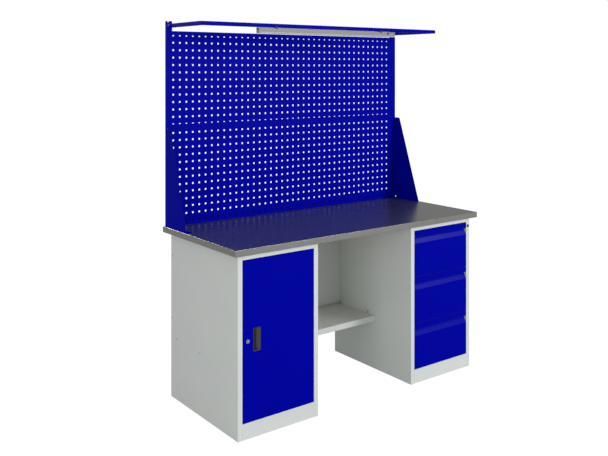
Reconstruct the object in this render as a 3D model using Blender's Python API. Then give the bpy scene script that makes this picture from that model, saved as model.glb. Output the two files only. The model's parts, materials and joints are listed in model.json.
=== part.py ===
# Double-pedestal workbench with a perforated back screen and an overhead lamp frame.
# Metres, +Z up. The origin is on the floor under the middle of the worktop,
# +X runs along the bench to the drawer side and -Y faces the person working at it.

import math

import bmesh
import bpy
from mathutils import Matrix, Vector

# Clearances
GAP = 0.0003                    # between pieces that touch
DOOR_GAP = 0.0015               # round the door, inside its frame
DRAWER_SIDE_GAP = 0.0012
DRAWER_SPACING = 0.0020         # between one drawer front and the next
SLIDE_CLEARANCE = 0.0004        # between the members of a drawer slide

# Worktop: a board in a folded steel tray
WORKTOP_WIDTH = 1.600
WORKTOP_DEPTH = 0.700
WORKTOP_HEIGHT = 0.868
WORKTOP_THICKNESS = 0.030
CLADDING_SHEET = 0.0015
CLADDING_LIP = 0.050
LIP_CORNER_GAP = 0.001

# Pedestal carcass, the same for the cabinet and for the drawer unit
PEDESTAL_WIDTH = 0.457
PEDESTAL_DEPTH = 0.638
PEDESTAL_SIDE_INSET = 0.031     # from the worktop's end
PEDESTAL_FRONT_INSET = 0.030    # from the worktop's front edge
CARCASS_SHEET = 0.0015
BACK_SHEET = 0.0010
JAMB_WIDTH = 0.025
JAMB_RETURN = 0.018
CARCASS_FLANGE = 0.020
FLANGE_END_CLEARANCE = 0.030
TOP_RAIL_HEIGHT = 0.025
TOP_RAIL_RETURN = 0.018
PLINTH_HEIGHT = 0.073
PLINTH_TOP_RETURN = 0.040
PLINTH_BOTTOM_RETURN = 0.020
FIXING_HOLE_RADIUS = 0.0035
BACK_HOLE_HEIGHTS = (0.403, 0.724)
BACK_HOLE_INSET = 0.013

# Cabinet
CABINET_SHELF_HEIGHT = 0.500
CABINET_SHELF_SETBACK = 0.060
SHELF_RETURN = 0.025
DOOR_SHEET = 0.0012
DOOR_DEPTH = 0.018
DOOR_SWING_ROOM = 0.006         # behind the door, for its rear corner as it turns
HINGE_PIN_RADIUS = 0.0025
HINGE_PIN_HEAD_RADIUS = 0.0037
HINGE_PIN_HEAD = 0.002
HINGE_PIN_REACH = 0.008         # how far a pin enters the door
HINGE_FROM_EDGE = 0.010
HINGE_FROM_FRONT = 0.0055
HINGE_HOLE_CLEARANCE = 0.0003
HANDLE_WIDTH = 0.042
HANDLE_HEIGHT = 0.108
HANDLE_FROM_EDGE = 0.055
HANDLE_CENTRE_HEIGHT = 0.444
HANDLE_RIM = 0.004
HANDLE_RIM_THICKNESS = 0.0015
HANDLE_WALL = 0.0015
HANDLE_CUP_DEPTH = 0.0125
HANDLE_RAMP = 0.012             # the slanted wall that the fingers slide in over
LOCK_FROM_EDGE = 0.027
LOCK_HEIGHT = 0.4415
LOCK_ROSETTE_RADIUS = 0.0095
LOCK_ROSETTE = 0.002
LOCK_BODY_RADIUS = 0.008
LOCK_BORE_RADIUS = 0.0065
LOCK_CORE_RADIUS = 0.0061
CAM_REACH = 0.042
CAM_WIDTH = 0.014
CAM_THICKNESS = 0.0025
CAM_CLEARANCE = 0.0005
KEYWAY_WIDTH = 0.0014
KEYWAY_HEIGHT = 0.0065
KEYWAY_DEPTH = 0.004

# Drawers
DRAWER_COUNT = 3
FRONT_SHEET = 0.0012
GRIP_STRIP = 0.026              # flat strip above the finger recess
GRIP_HEIGHT = 0.042
GRIP_DEPTH = 0.021
FRONT_RETURN = 0.0235
FRONT_FIXING_LIP = 0.060        # turned up behind the front, where the box is screwed on
BOX_SHEET = 0.0010
BOX_SIDE_SPACE = 0.013          # from the frame opening to the box, for the slides
BOX_LIFT = 0.012
BOX_HEIGHT = 0.170
BOX_DEPTH = 0.560
SLIDE_HEIGHT = 0.046
SLIDE_LENGTH = 0.550
SLIDE_START = 0.036             # behind the pedestal's front
SLIDE_ABOVE_BOX_FLOOR = 0.045
SLIDE_SHEET = 0.0012
MIDDLE_SHEET = 0.0010
SLIDE_LIP = 0.0085
SLIDE_FOOT = 0.016
RUNNER_SINK = 0.0005

# Central lock of the drawers
DRAWER_LOCK_FROM_SIDE = 0.0125
DRAWER_LOCK_FROM_TOP = 0.0475    # below the pedestal's top
DRAWER_LOCK_RADIUS = 0.008
DRAWER_LOCK_FACE = 0.002
DRAWER_LOCK_BODY_RADIUS = 0.007
DRAWER_LOCK_HOLE_RADIUS = 0.0073
ECCENTRIC = 0.005
ECCENTRIC_PIN_RADIUS = 0.002
ECCENTRIC_CLEARANCE = 0.0005
LOCK_BAR_WIDTH = 0.014
LOCK_BAR_SHEET = 0.003
LOCK_BAR_FRONT = 0.030          # behind the pedestal's front
LOCK_BAR_ABOVE_PLINTH = 0.077
LOCK_BAR_ABOVE_LOCK = 0.013
LOCK_TAB_REACH = 0.0185
LOCK_TAB_HEIGHT = 0.011
LOCK_TAB_BELOW_LUG = 0.001
LUG_ABOVE_BOX_FLOOR = 0.098
LUG_HEIGHT = 0.008
LUG_LENGTH = 0.006
LUG_REACH = 0.0115
LUG_BEHIND_BAR = 0.005

# Knee space between the pedestals
KNEE_SHELF_HEIGHT = 0.298
KNEE_SHELF_DEPTH = 0.310
KNEE_SHELF_SHEET = 0.0015
KNEE_SHELF_APRON = 0.030
KNEE_SHELF_UPSTAND = 0.020
KNEE_SHELF_LIP = 0.012
KNEE_BOLT_ABOVE_SHELF = 0.009
KNEE_BOLT_FROM_FRONT = 0.062
KNEE_BOLT_FROM_BACK = 0.0085
KNEE_BACK_SETBACK = 0.048       # from the pedestals' rear to the panel's front face
KNEE_BACK_SHEET = 0.0012
KNEE_BACK_FLANGE = 0.020

# Back screen: posts, two perforated panels and two gussets
SCREEN_SIDE_INSET = 0.004       # from the worktop's end
SCREEN_FROM_REAR = 0.038        # from the worktop's rear edge to the panels' front face
PANEL_HEIGHT = 0.500
PANEL_COUNT = 2
PANEL_SHEET = 0.0012
PANEL_RETURN = 0.026
PANEL_LIP = 0.020
HOLE_SIZE = 0.010
HOLE_PITCH = 0.038
HOLE_SIDE_MARGIN = 0.030        # least metal beside the first and last column's middle
HOLE_END_MARGIN = 0.020
HOLE_STEP = 2                   # the solid carries every second column and row
POST_WIDTH = 0.031
POST_DEPTH = 0.020              # from the panels' front face
POST_SHEET = 0.002
POST_LIP = 0.008
POST_ABOVE_SCREEN = 0.050
POST_NOTCH_WIDTH = 0.005
POST_NOTCH_DEPTH = 0.008
POST_NOTCH_FROM_SIDE = 0.005
GUSSET_HEIGHT = 0.500
GUSSET_SHEET = 0.002
GUSSET_FOOT = 0.030
GUSSET_REAR = 0.014             # behind the panels' front face
GUSSET_TOP_REACH = 0.038        # in front of the panels' front face
GUSSET_FOOT_REACH = 0.205
GUSSET_CORNER_RADIUS = 0.010
GUSSET_RELIEF_WIDTH = 0.008
GUSSET_RELIEF_HEIGHT = 0.007

# Overhead frame and lamp
FRAME_TUBE = 0.020
FRAME_WALL = 0.0015
FRAME_REACH = 0.345             # from the panels' front face to the frame's front face
FRAME_BELOW_POST_TOP = 0.0145
SPIGOT_LENGTH = 0.045
FRAME_BOLT_FROM_POST = 0.032
FRAME_BOLT_RADIUS = 0.003
FRAME_BOLT_HEAD_RADIUS = 0.010
FRAME_BOLT_HEAD = 0.0035
LAMP_LENGTH = 0.930
LAMP_DEPTH = 0.024
LAMP_HEIGHT = 0.022
LAMP_SHEET = 0.0010
DIFFUSER_HEIGHT = 0.0063
DIFFUSER_WALL = 0.0012
LED_BOARD_WIDTH = 0.014
LED_BOARD_THICKNESS = 0.0016
LED_BOARD_END_GAP = 0.012
CLIP_FROM_END = 0.107
CLIP_WIDTH = 0.012
CLIP_SHEET = 0.0010
CLIP_LIP = 0.006
SWITCH_FROM_END = 0.054
SWITCH_RADIUS = 0.0056
SWITCH_HOLE_RADIUS = 0.0059
SWITCH_PROUD = 0.0025
SWITCH_BASE_RADIUS = 0.0066
SWITCH_BASE = 0.0015
SWITCH_BEHIND_WALL = 0.0003
SWITCH_ABOVE_LAMP_BOTTOM = 0.014

ROUND_SIDES = 16
HOLE_SIDES = 8

# Sizes that follow from the driving ones
HALF_TOP = WORKTOP_WIDTH / 2
FRONT_EDGE = -WORKTOP_DEPTH / 2
REAR_EDGE = WORKTOP_DEPTH / 2
HALF_PEDESTAL = PEDESTAL_WIDTH / 2
PEDESTAL_HEIGHT = WORKTOP_HEIGHT - WORKTOP_THICKNESS - GAP
PEDESTAL_CENTRE = HALF_TOP - PEDESTAL_SIDE_INSET - HALF_PEDESTAL
PEDESTAL_FRONT = FRONT_EDGE + PEDESTAL_FRONT_INSET
HALF_OPENING = HALF_PEDESTAL - JAMB_WIDTH
HALF_INSIDE = HALF_PEDESTAL - CARCASS_SHEET - GAP
OPENING_TOP = PEDESTAL_HEIGHT - TOP_RAIL_HEIGHT
BACK_OUTER = PEDESTAL_DEPTH - CARCASS_SHEET - GAP
BACK_INNER = BACK_OUTER - BACK_SHEET
HALF_KNEE = PEDESTAL_CENTRE - HALF_PEDESTAL
TOP_FACE = WORKTOP_HEIGHT + GAP
DRAWER_LOCK_HEIGHT = PEDESTAL_HEIGHT - DRAWER_LOCK_FROM_TOP
LOCK_BAR_BOTTOM = PLINTH_HEIGHT + LOCK_BAR_ABOVE_PLINTH
LOCK_BAR_TOP = DRAWER_LOCK_HEIGHT + LOCK_BAR_ABOVE_LOCK
KNEE_BACK_FACE = PEDESTAL_FRONT + PEDESTAL_DEPTH - KNEE_BACK_SETBACK
KNEE_SHELF_FRONT = KNEE_BACK_FACE - KNEE_SHELF_DEPTH
KNEE_BOLT_HEIGHT = KNEE_SHELF_HEIGHT + KNEE_BOLT_ABOVE_SHELF
KNEE_BOLT_PLACES = (KNEE_SHELF_FRONT + KNEE_BOLT_FROM_FRONT, KNEE_BACK_FACE - KNEE_BOLT_FROM_BACK)

HALF_SCREEN = HALF_TOP - SCREEN_SIDE_INSET
HOLE_COLUMNS = 1 + int(2 * (HALF_SCREEN - HOLE_SIDE_MARGIN) / HOLE_PITCH)
HOLE_ROWS = 1 + int((PANEL_HEIGHT - 2 * HOLE_END_MARGIN) / HOLE_PITCH)
SCREEN_FACE = REAR_EDGE - SCREEN_FROM_REAR
POST_FACE = SCREEN_FACE + PANEL_SHEET + GAP
POST_INNER = HALF_SCREEN - POST_WIDTH
POST_TOP = WORKTOP_HEIGHT + PANEL_COUNT * PANEL_HEIGHT + POST_ABOVE_SCREEN
FRAME_TOP = POST_TOP - FRAME_BELOW_POST_TOP
FRAME_BOTTOM = FRAME_TOP - FRAME_TUBE
FRAME_LEVEL = FRAME_TOP - FRAME_TUBE / 2
FRAME_FRONT = SCREEN_FACE - FRAME_REACH
FRAME_SIDE = HALF_SCREEN - FRAME_TUBE / 2
FRAME_BAR_LINE = FRAME_FRONT + FRAME_TUBE / 2

LEFT, RIGHT = -1, 1


def srgb(red, green, blue):
    """Turn 0 to 255 display values into Blender's linear colour."""
    def linear(value):
        value = value / 255
        return value / 12.92 if value <= 0.04045 else ((value + 0.055) / 1.055) ** 2.4
    return (linear(red), linear(green), linear(blue), 1.0)


def clear_scene():
    for item in list(bpy.data.objects):
        bpy.data.objects.remove(item)


def finish_of(name, colour, roughness, metallic):
    """A plain Principled material."""
    material = bpy.data.materials.new(name)
    material.use_nodes = True
    shader = material.node_tree.nodes["Principled BSDF"]
    shader.inputs["Base Color"].default_value = colour
    shader.inputs["Roughness"].default_value = roughness
    shader.inputs["Metallic"].default_value = metallic
    material.diffuse_color = colour
    return material


def make_finishes():
    return {
        "steel_top": finish_of("steel_top", srgb(125, 125, 118), 0.30, 0.9),
        "board": finish_of("board", srgb(150, 125, 95), 0.80, 0.0),
        "grey_paint": finish_of("grey_paint", srgb(205, 210, 205), 0.50, 0.0),
        "blue_paint": finish_of("blue_paint", srgb(8, 10, 155), 0.45, 0.0),
        "zinc": finish_of("zinc", srgb(175, 178, 180), 0.35, 0.9),
        "chrome": finish_of("chrome", srgb(215, 215, 215), 0.15, 1.0),
        "dark_plastic": finish_of("dark_plastic", srgb(70, 72, 75), 0.50, 0.0),
        "lamp_grey": finish_of("lamp_grey", srgb(168, 168, 158), 0.50, 0.0),
        "diffuser": finish_of("diffuser", srgb(235, 235, 230), 0.60, 0.0),
        "led_white": finish_of("led_white", srgb(240, 240, 225), 0.50, 0.0),
    }


def frame_at(name, location, parent=None):
    """An empty that carries pieces: a local frame, or the line that a joint moves on."""
    empty = bpy.data.objects.new(name, None)
    empty.empty_display_size = 0.05
    empty.location = location
    empty.parent = parent
    bpy.context.collection.objects.link(empty)
    return empty


def add_object(name, mesh_data, material, frame=None, joint=None):
    """Put a bmesh into the scene. Its points are given in frame's coordinates."""
    mesh = bpy.data.meshes.new(name)
    mesh_data.to_mesh(mesh)
    mesh_data.free()
    if material:
        mesh.materials.append(material)
    piece = bpy.data.objects.new(name, mesh)
    bpy.context.collection.objects.link(piece)
    piece.parent = frame
    if joint:
        piece.parent = joint
        piece.matrix_parent_inverse = Matrix.Translation(-Vector(joint.location))
    return piece


def smooth_round(piece):
    piece.data.shade_smooth()
    piece.data.set_sharp_from_angle(angle=math.radians(35))


def lies_between(point, start, end):
    """True where a point lies on the open stretch from start to end."""
    along = end - start
    share = (point - start).dot(along) / along.length_squared
    return 1e-6 < share < 1 - 1e-6 and (start + along * share - point).length < 1e-6


def folded_sheet(name, faces, thickness, facing, material, frame=None, joint=None):
    """Sheet metal: flat faces of one skin, joined where they touch, thickened to the other side.

    facing is the outward direction of the first face's skin.
    """
    points = []
    for face in faces:
        for corner in map(Vector, face):
            if all((corner - known).length > 1e-6 for known in points):
                points.append(corner)
    mesh_data = bmesh.new()
    verts = [mesh_data.verts.new(point) for point in points]
    for face in faces:
        corners = [Vector(corner) for corner in face]
        loop = []
        for start, end in zip(corners, corners[1:] + corners[:1]):
            nearest = min(range(len(points)), key=lambda i: (points[i] - start).length)
            between = [i for i, point in enumerate(points) if lies_between(point, start, end)]
            between.sort(key=lambda i: (points[i] - start).length)
            loop += [verts[i] for i in [nearest] + between]
        mesh_data.faces.new(loop)
    bmesh.ops.recalc_face_normals(mesh_data, faces=mesh_data.faces)
    mesh_data.faces.ensure_lookup_table()
    if mesh_data.faces[0].normal.dot(Vector(facing)) < 0:
        bmesh.ops.reverse_faces(mesh_data, faces=mesh_data.faces)
    sheet = add_object(name, mesh_data, material, frame, joint)
    solidify = sheet.modifiers.new("Sheet thickness", 'SOLIDIFY')
    solidify.solidify_mode = 'NON_MANIFOLD'
    solidify.nonmanifold_thickness_mode = 'CONSTRAINTS'
    solidify.nonmanifold_merge_threshold = 0.0001
    solidify.thickness = thickness
    solidify.offset = -1
    return sheet


def flat(axis, level, first, second):
    """A rectangle square to an axis: level on it, then its spans along the other two axes."""
    (a0, a1), (b0, b1) = first, second
    corners = [(a0, b0), (a1, b0), (a1, b1), (a0, b1)]
    if axis == 'X':
        return [(level, a, b) for a, b in corners]
    if axis == 'Y':
        return [(a, level, b) for a, b in corners]
    return [(a, b, level) for a, b in corners]


def strip_along_x(path, span):
    """Faces of a sheet that is bent along a path of (y, z) points and runs along X."""
    return [[(span[0], *start), (span[1], *start), (span[1], *end), (span[0], *end)]
            for start, end in zip(path, path[1:])]


def lofted(name, sections, material, frame=None, joint=None, closed=False):
    """Skin a row of equal loops; the ends are capped unless the row closes on itself."""
    mesh_data = bmesh.new()
    rings = [[mesh_data.verts.new(point) for point in section] for section in sections]
    pairs = list(zip(rings, rings[1:]))
    if closed:
        pairs.append((rings[-1], rings[0]))
    else:
        mesh_data.faces.new(rings[0])
        mesh_data.faces.new(rings[-1])
    for ring, following in pairs:
        count = len(ring)
        for i in range(count):
            j = (i + 1) % count
            mesh_data.faces.new((ring[i], ring[j], following[j], following[i]))
    bmesh.ops.recalc_face_normals(mesh_data, faces=mesh_data.faces)
    return add_object(name, mesh_data, material, frame, joint)


def circle(axis, centre, radius, sides=ROUND_SIDES):
    """A loop of points round a centre, square to an axis."""
    u, v = {'X': ((0, 1, 0), (0, 0, 1)), 'Y': ((0, 0, 1), (1, 0, 0)), 'Z': ((1, 0, 0), (0, 1, 0))}[axis]
    u, v = Vector(u), Vector(v)
    turns = [2 * math.pi * (i + 0.5) / sides for i in range(sides)]
    return [Vector(centre) + radius * (u * math.cos(t) + v * math.sin(t)) for t in turns]


def turned(name, axis, centre, stations, material, frame=None, joint=None, sides=ROUND_SIDES,
           closed=False):
    """A turned piece: stations are (distance along the axis, radius)."""
    direction = Vector({'X': (1, 0, 0), 'Y': (0, 1, 0), 'Z': (0, 0, 1)}[axis])
    sections = [circle(axis, Vector(centre) + direction * distance, radius, sides)
                for distance, radius in stations]
    piece = lofted(name, sections, material, frame, joint, closed)
    smooth_round(piece)
    return piece


def extruded(name, outline, depth, material, frame=None, joint=None):
    """A flat outline of 3-D points, pulled out by the vector depth."""
    shifted = [Vector(point) + Vector(depth) for point in outline]
    return lofted(name, [[Vector(point) for point in outline], shifted], material, frame, joint)


def block(name, low, high, material=None, frame=None, joint=None):
    outline = [(low[0], low[1], low[2]), (high[0], low[1], low[2]),
               (high[0], high[1], low[2]), (low[0], high[1], low[2])]
    return extruded(name, outline, (0, 0, high[2] - low[2]), material, frame, joint)


def combine(piece, tool, operation):
    """Cut a piece with a hidden tool, or weld the tool to it."""
    tool.hide_render = True
    tool.display_type = 'WIRE'
    boolean = piece.modifiers.new(tool.name, 'BOOLEAN')
    boolean.operation = operation
    boolean.solver = 'EXACT'
    boolean.object = tool


def cut(piece, tool):
    combine(piece, tool, 'DIFFERENCE')


def weld(piece, tool):
    combine(piece, tool, 'UNION')


def drill(piece, name, axis, centre, radius, reach, frame=None, joint=None, sides=ROUND_SIDES):
    """A round hole through a sheet, reach to either side of centre."""
    cut(piece, turned(name, axis, centre, [(-reach, radius), (reach, radius)], None, frame, joint, sides))


def make_worktop(finish):
    """A board held in a steel tray whose edges fold down and under."""
    bottom = WORKTOP_HEIGHT - WORKTOP_THICKNESS
    ends = (-HALF_TOP, HALF_TOP)
    edges = (FRONT_EDGE, REAR_EDGE)
    side = (bottom, WORKTOP_HEIGHT)
    corner = CLADDING_LIP + LIP_CORNER_GAP
    faces = [flat('Z', WORKTOP_HEIGHT, ends, edges)]
    faces += [flat('Y', y, ends, side) for y in edges]
    faces += [flat('X', x, edges, side) for x in ends]
    long_lip = (-HALF_TOP + corner, HALF_TOP - corner)
    faces += [flat('Z', bottom, long_lip, span) for span in
              ((FRONT_EDGE, FRONT_EDGE + CLADDING_LIP), (REAR_EDGE - CLADDING_LIP, REAR_EDGE))]
    short_lip = (FRONT_EDGE + corner, REAR_EDGE - corner)
    faces += [flat('Z', bottom, span, short_lip) for span in
              ((-HALF_TOP, -HALF_TOP + CLADDING_LIP), (HALF_TOP - CLADDING_LIP, HALF_TOP))]
    folded_sheet("worktop_cladding", faces, CLADDING_SHEET, (0, 0, 1), finish["steel_top"])
    inset = CLADDING_SHEET + GAP
    block("worktop_board",
          (-HALF_TOP + inset, FRONT_EDGE + inset, bottom + inset),
          (HALF_TOP - inset, REAR_EDGE - inset, WORKTOP_HEIGHT - inset), finish["board"])


def carcass_wall(name, side, finish, frame, on_outside):
    """A side of a pedestal, folded into the front jamb and into narrow flanges."""
    outer = side * HALF_PEDESTAL

    def across(start, end):
        return (outer - side * start, outer - side * end)
    depth = (0, PEDESTAL_DEPTH)
    height = (0, PEDESTAL_HEIGHT)
    flange_run = (FLANGE_END_CLEARANCE, PEDESTAL_DEPTH - FLANGE_END_CLEARANCE)
    faces = [
        flat('X', outer, depth, height),
        flat('Y', 0, across(0, JAMB_WIDTH), height),
        flat('X', outer - side * JAMB_WIDTH, (0, JAMB_RETURN), height),
        flat('Y', PEDESTAL_DEPTH, across(0, CARCASS_FLANGE), height),
        flat('Z', 0, across(0, CARCASS_FLANGE), flange_run),
        flat('Z', PEDESTAL_HEIGHT, across(0, CARCASS_FLANGE), flange_run),
    ]
    wall = folded_sheet(name, faces, CARCASS_SHEET, (side, 0, 0), finish["grey_paint"], frame)
    shelf_holes = [(y - PEDESTAL_FRONT, KNEE_BOLT_HEIGHT) for y in KNEE_BOLT_PLACES]
    back_holes = [(PEDESTAL_DEPTH - BACK_HOLE_INSET, height) for height in BACK_HOLE_HEIGHTS]
    holes = shelf_holes + (back_holes if on_outside else [])
    for index, (y, z) in enumerate(holes):
        drill(wall, f"{name}_hole_{index}", 'X', (outer, y, z), FIXING_HOLE_RADIUS,
              CARCASS_SHEET * 3, frame, sides=HOLE_SIDES)
    return wall


def make_carcass(prefix, outside, finish, frame):
    """Walls, back, top rail and plinth of a pedestal, in the pedestal's own frame."""
    walls = {side: carcass_wall(f"{prefix}_{word}_wall", side, finish, frame, side == outside)
             for side, word in ((LEFT, "left"), (RIGHT, "right"))}
    inside = (-HALF_INSIDE, HALF_INSIDE)
    returns = (BACK_OUTER - CARCASS_FLANGE, BACK_OUTER)
    back_faces = [
        flat('Y', BACK_OUTER, inside, (0, PEDESTAL_HEIGHT)),
        flat('Z', 0, inside, returns),
        flat('Z', PEDESTAL_HEIGHT, inside, returns),
    ]
    folded_sheet(f"{prefix}_back", back_faces, BACK_SHEET, (0, 1, 0), finish["grey_paint"], frame)
    between_jambs = (-HALF_OPENING + GAP, HALF_OPENING - GAP)
    rail_path = [(TOP_RAIL_RETURN, OPENING_TOP), (0, OPENING_TOP), (0, PEDESTAL_HEIGHT),
                 (TOP_RAIL_RETURN, PEDESTAL_HEIGHT)]
    rail = folded_sheet(f"{prefix}_top_rail", strip_along_x(rail_path, between_jambs), CARCASS_SHEET,
                        (0, 0, -1), finish["grey_paint"], frame)
    plinth_path = [(PLINTH_TOP_RETURN, PLINTH_HEIGHT), (0, PLINTH_HEIGHT), (0, 0),
                   (PLINTH_BOTTOM_RETURN, 0)]
    plinth = folded_sheet(f"{prefix}_plinth", strip_along_x(plinth_path, between_jambs), CARCASS_SHEET,
                          (0, 0, 1), finish["grey_paint"], frame)
    return walls, rail, plinth


def make_cabinet_inside(finish, frame):
    """The cabinet's floor on the plinth, and one shelf."""
    floor_top = PLINTH_HEIGHT + GAP + CARCASS_SHEET
    inside = (-HALF_INSIDE, HALF_INSIDE)

    def upturned_tray(top, front):
        depth = (front, BACK_INNER - GAP)
        drop = (top - SHELF_RETURN, top)
        faces = [flat('Z', top, inside, depth)]
        faces += [flat('X', x, depth, drop) for x in inside]
        faces.append(flat('Y', depth[1], inside, drop))
        return faces, drop

    floor_faces, _ = upturned_tray(floor_top, DOOR_DEPTH + DOOR_SWING_ROOM)
    folded_sheet("cabinet_floor", floor_faces, CARCASS_SHEET, (0, 0, 1), finish["grey_paint"], frame)
    shelf_faces, drop = upturned_tray(CABINET_SHELF_HEIGHT, CABINET_SHELF_SETBACK)
    shelf_faces.append(flat('Y', CABINET_SHELF_SETBACK, inside, drop))
    folded_sheet("cabinet_shelf", shelf_faces, CARCASS_SHEET, (0, 0, 1), finish["grey_paint"], frame)


def make_hinge_pins(finish, frame, hinge, rail, plinth, door):
    """Two pins, one down through the top rail and one up through the plinth, into the door."""
    x, y = hinge
    door_bottom = PLINTH_HEIGHT + DOOR_GAP
    door_top = OPENING_TOP - DOOR_GAP
    hole = HINGE_PIN_RADIUS + HINGE_HOLE_CLEARANCE
    upper_seat = OPENING_TOP + CARCASS_SHEET + GAP
    lower_seat = PLINTH_HEIGHT - CARCASS_SHEET - GAP
    for name, seat, tip, carrier in (
            ("hinge_pin_upper", upper_seat, door_top - HINGE_PIN_REACH, rail),
            ("hinge_pin_lower", lower_seat, door_bottom + HINGE_PIN_REACH, plinth)):
        up = 1 if seat > tip else -1
        stations = [(seat + up * HINGE_PIN_HEAD, HINGE_PIN_HEAD_RADIUS), (seat, HINGE_PIN_HEAD_RADIUS),
                    (seat, HINGE_PIN_RADIUS), (tip, HINGE_PIN_RADIUS)]
        turned(name, 'Z', (x, y, 0), stations, finish["zinc"], frame)
        drill(carrier, f"{name}_seat", 'Z', (x, y, seat), hole, CARCASS_SHEET * 3, frame)
        drill(door, f"{name}_socket", 'Z', (x, y, tip + up * HINGE_PIN_REACH), hole,
              DOOR_SHEET * 3, frame)


def make_door(finish, frame, hinge_line):
    """The door: a pan open to the rear, with room cut for its pull and its lock."""
    left = -HALF_OPENING + DOOR_GAP
    right = HALF_OPENING - DOOR_GAP
    across = (left, right)
    height = (PLINTH_HEIGHT + DOOR_GAP, OPENING_TOP - DOOR_GAP)
    depth = (0, DOOR_DEPTH)
    faces = [flat('Y', 0, across, height)]
    faces += [flat('X', x, depth, height) for x in across]
    faces += [flat('Z', z, across, depth) for z in height]
    door = folded_sheet("cabinet_door", faces, DOOR_SHEET, (0, -1, 0), finish["blue_paint"],
                        frame, hinge_line)

    handle_left = left + HANDLE_FROM_EDGE
    cup_left = handle_left + HANDLE_RIM
    cup_right = handle_left + HANDLE_WIDTH - HANDLE_RIM
    low = HANDLE_CENTRE_HEIGHT - HANDLE_HEIGHT / 2
    high = HANDLE_CENTRE_HEIGHT + HANDLE_HEIGHT / 2

    def rectangle(y, x0, x1, z0, z1):
        return [(x0, y, z0), (x1, y, z0), (x1, y, z1), (x0, y, z1)]
    face = -GAP - HANDLE_RIM_THICKNESS
    wall = HANDLE_WALL
    cup_low = low + HANDLE_RIM
    cup_high = high - HANDLE_RIM
    sections = [
        rectangle(HANDLE_CUP_DEPTH, cup_left + wall, cup_right - wall - HANDLE_RAMP,
                  cup_low + wall * 2, cup_high - wall * 2),
        rectangle(face, cup_left + wall, cup_right - wall, cup_low + wall, cup_high - wall),
        rectangle(face, handle_left, handle_left + HANDLE_WIDTH, low, high),
        rectangle(-GAP, handle_left, handle_left + HANDLE_WIDTH, low, high),
        rectangle(-GAP, cup_left, cup_right, cup_low, cup_high),
        rectangle(HANDLE_CUP_DEPTH + wall, cup_left, cup_right, cup_low, cup_high),
    ]
    lofted("cabinet_door_handle", sections, finish["dark_plastic"], frame, hinge_line)
    cut(door, block("cabinet_door_handle_opening",
                    (cup_left - GAP, -DOOR_SHEET, cup_low - GAP),
                    (cup_right + GAP, DOOR_SHEET * 3, cup_high + GAP), None, frame, hinge_line))
    return door


def cut_keyway(core, name, centre, face, frame, joint):
    """The slot that a key goes into, in the face of a lock's core."""
    x, z = centre
    cut(core, block(name, (x - KEYWAY_WIDTH / 2, face - KEYWAY_DEPTH, z - KEYWAY_HEIGHT / 2),
                    (x + KEYWAY_WIDTH / 2, face + KEYWAY_DEPTH, z + KEYWAY_HEIGHT / 2),
                    None, frame, joint))


def make_door_lock(finish, frame, hinge_line, door):
    """A cam lock: a housing fixed in the door, a core that turns in it, and the cam behind."""
    x = -HALF_OPENING + DOOR_GAP + LOCK_FROM_EDGE
    centre = (x, 0, LOCK_HEIGHT)
    housing_end = DOOR_DEPTH - CAM_CLEARANCE
    stations = [(-LOCK_ROSETTE - GAP, LOCK_BORE_RADIUS), (-LOCK_ROSETTE - GAP, LOCK_ROSETTE_RADIUS),
                (-GAP, LOCK_ROSETTE_RADIUS), (-GAP, LOCK_BODY_RADIUS),
                (housing_end, LOCK_BODY_RADIUS), (housing_end, LOCK_BORE_RADIUS)]
    turned("cabinet_lock_housing", 'Y', centre, stations, finish["chrome"], frame, hinge_line,
           closed=True)
    drill(door, "cabinet_lock_hole", 'Y', centre, LOCK_BODY_RADIUS + GAP, DOOR_SHEET * 2,
          frame, hinge_line)

    core_line = frame_at("cabinet_lock_line", centre, hinge_line)
    core_line.matrix_parent_inverse = Matrix.Translation(-Vector(hinge_line.location))
    cam_front = DOOR_DEPTH + CAM_CLEARANCE
    face = -LOCK_ROSETTE - GAP + CAM_CLEARANCE
    core_stations = [(face, LOCK_CORE_RADIUS), (cam_front - GAP, LOCK_CORE_RADIUS)]
    core = turned("cabinet_lock_core", 'Y', (0, 0, 0), core_stations, finish["chrome"], core_line)
    cut_keyway(core, "cabinet_lock_keyway", (0, 0), face, core_line, None)

    half = CAM_WIDTH / 2
    bow = [(half * math.cos(turn), half * math.sin(turn))
           for turn in (math.radians(30 * step) for step in range(7))]
    outline = [(px, cam_front, pz) for px, pz in bow + [(-half, -CAM_REACH), (half, -CAM_REACH)]]
    extruded("cabinet_lock_cam", outline, (0, CAM_THICKNESS, 0), finish["zinc"], core_line)


def make_cabinet(finish):
    """The left pedestal: a cupboard with a door hinged on its right side."""
    frame = frame_at("cabinet_frame", (-PEDESTAL_CENTRE, PEDESTAL_FRONT, 0))
    _, rail, plinth = make_carcass("cabinet", LEFT, finish, frame)
    make_cabinet_inside(finish, frame)
    hinge = (HALF_OPENING - DOOR_GAP - HINGE_FROM_EDGE, HINGE_FROM_FRONT)
    hinge_line = frame_at("cabinet_door_hinge_line", (*hinge, PLINTH_HEIGHT), frame)
    door = make_door(finish, frame, hinge_line)
    make_hinge_pins(finish, frame, hinge, rail, plinth, door)
    make_door_lock(finish, frame, hinge_line, door)


def drawer_height():
    """Height of one drawer front."""
    opening = OPENING_TOP - PLINTH_HEIGHT
    return (opening - (DRAWER_COUNT + 1) * DRAWER_SPACING) / DRAWER_COUNT


def slide_sizes():
    """Where each member of a drawer slide lies, from the frame opening inwards."""
    fixed_back = HALF_OPENING - GAP
    fixed_skin = fixed_back - SLIDE_SHEET
    middle_skin = fixed_skin - SLIDE_CLEARANCE - MIDDLE_SHEET
    runner_face = middle_skin - SLIDE_CLEARANCE
    fixed_half = SLIDE_HEIGHT / 2 - SLIDE_SHEET
    middle_half = fixed_half - SLIDE_CLEARANCE - MIDDLE_SHEET
    runner_half = middle_half - SLIDE_CLEARANCE
    return fixed_skin, middle_skin, runner_face, fixed_half, middle_half, runner_half


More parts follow.
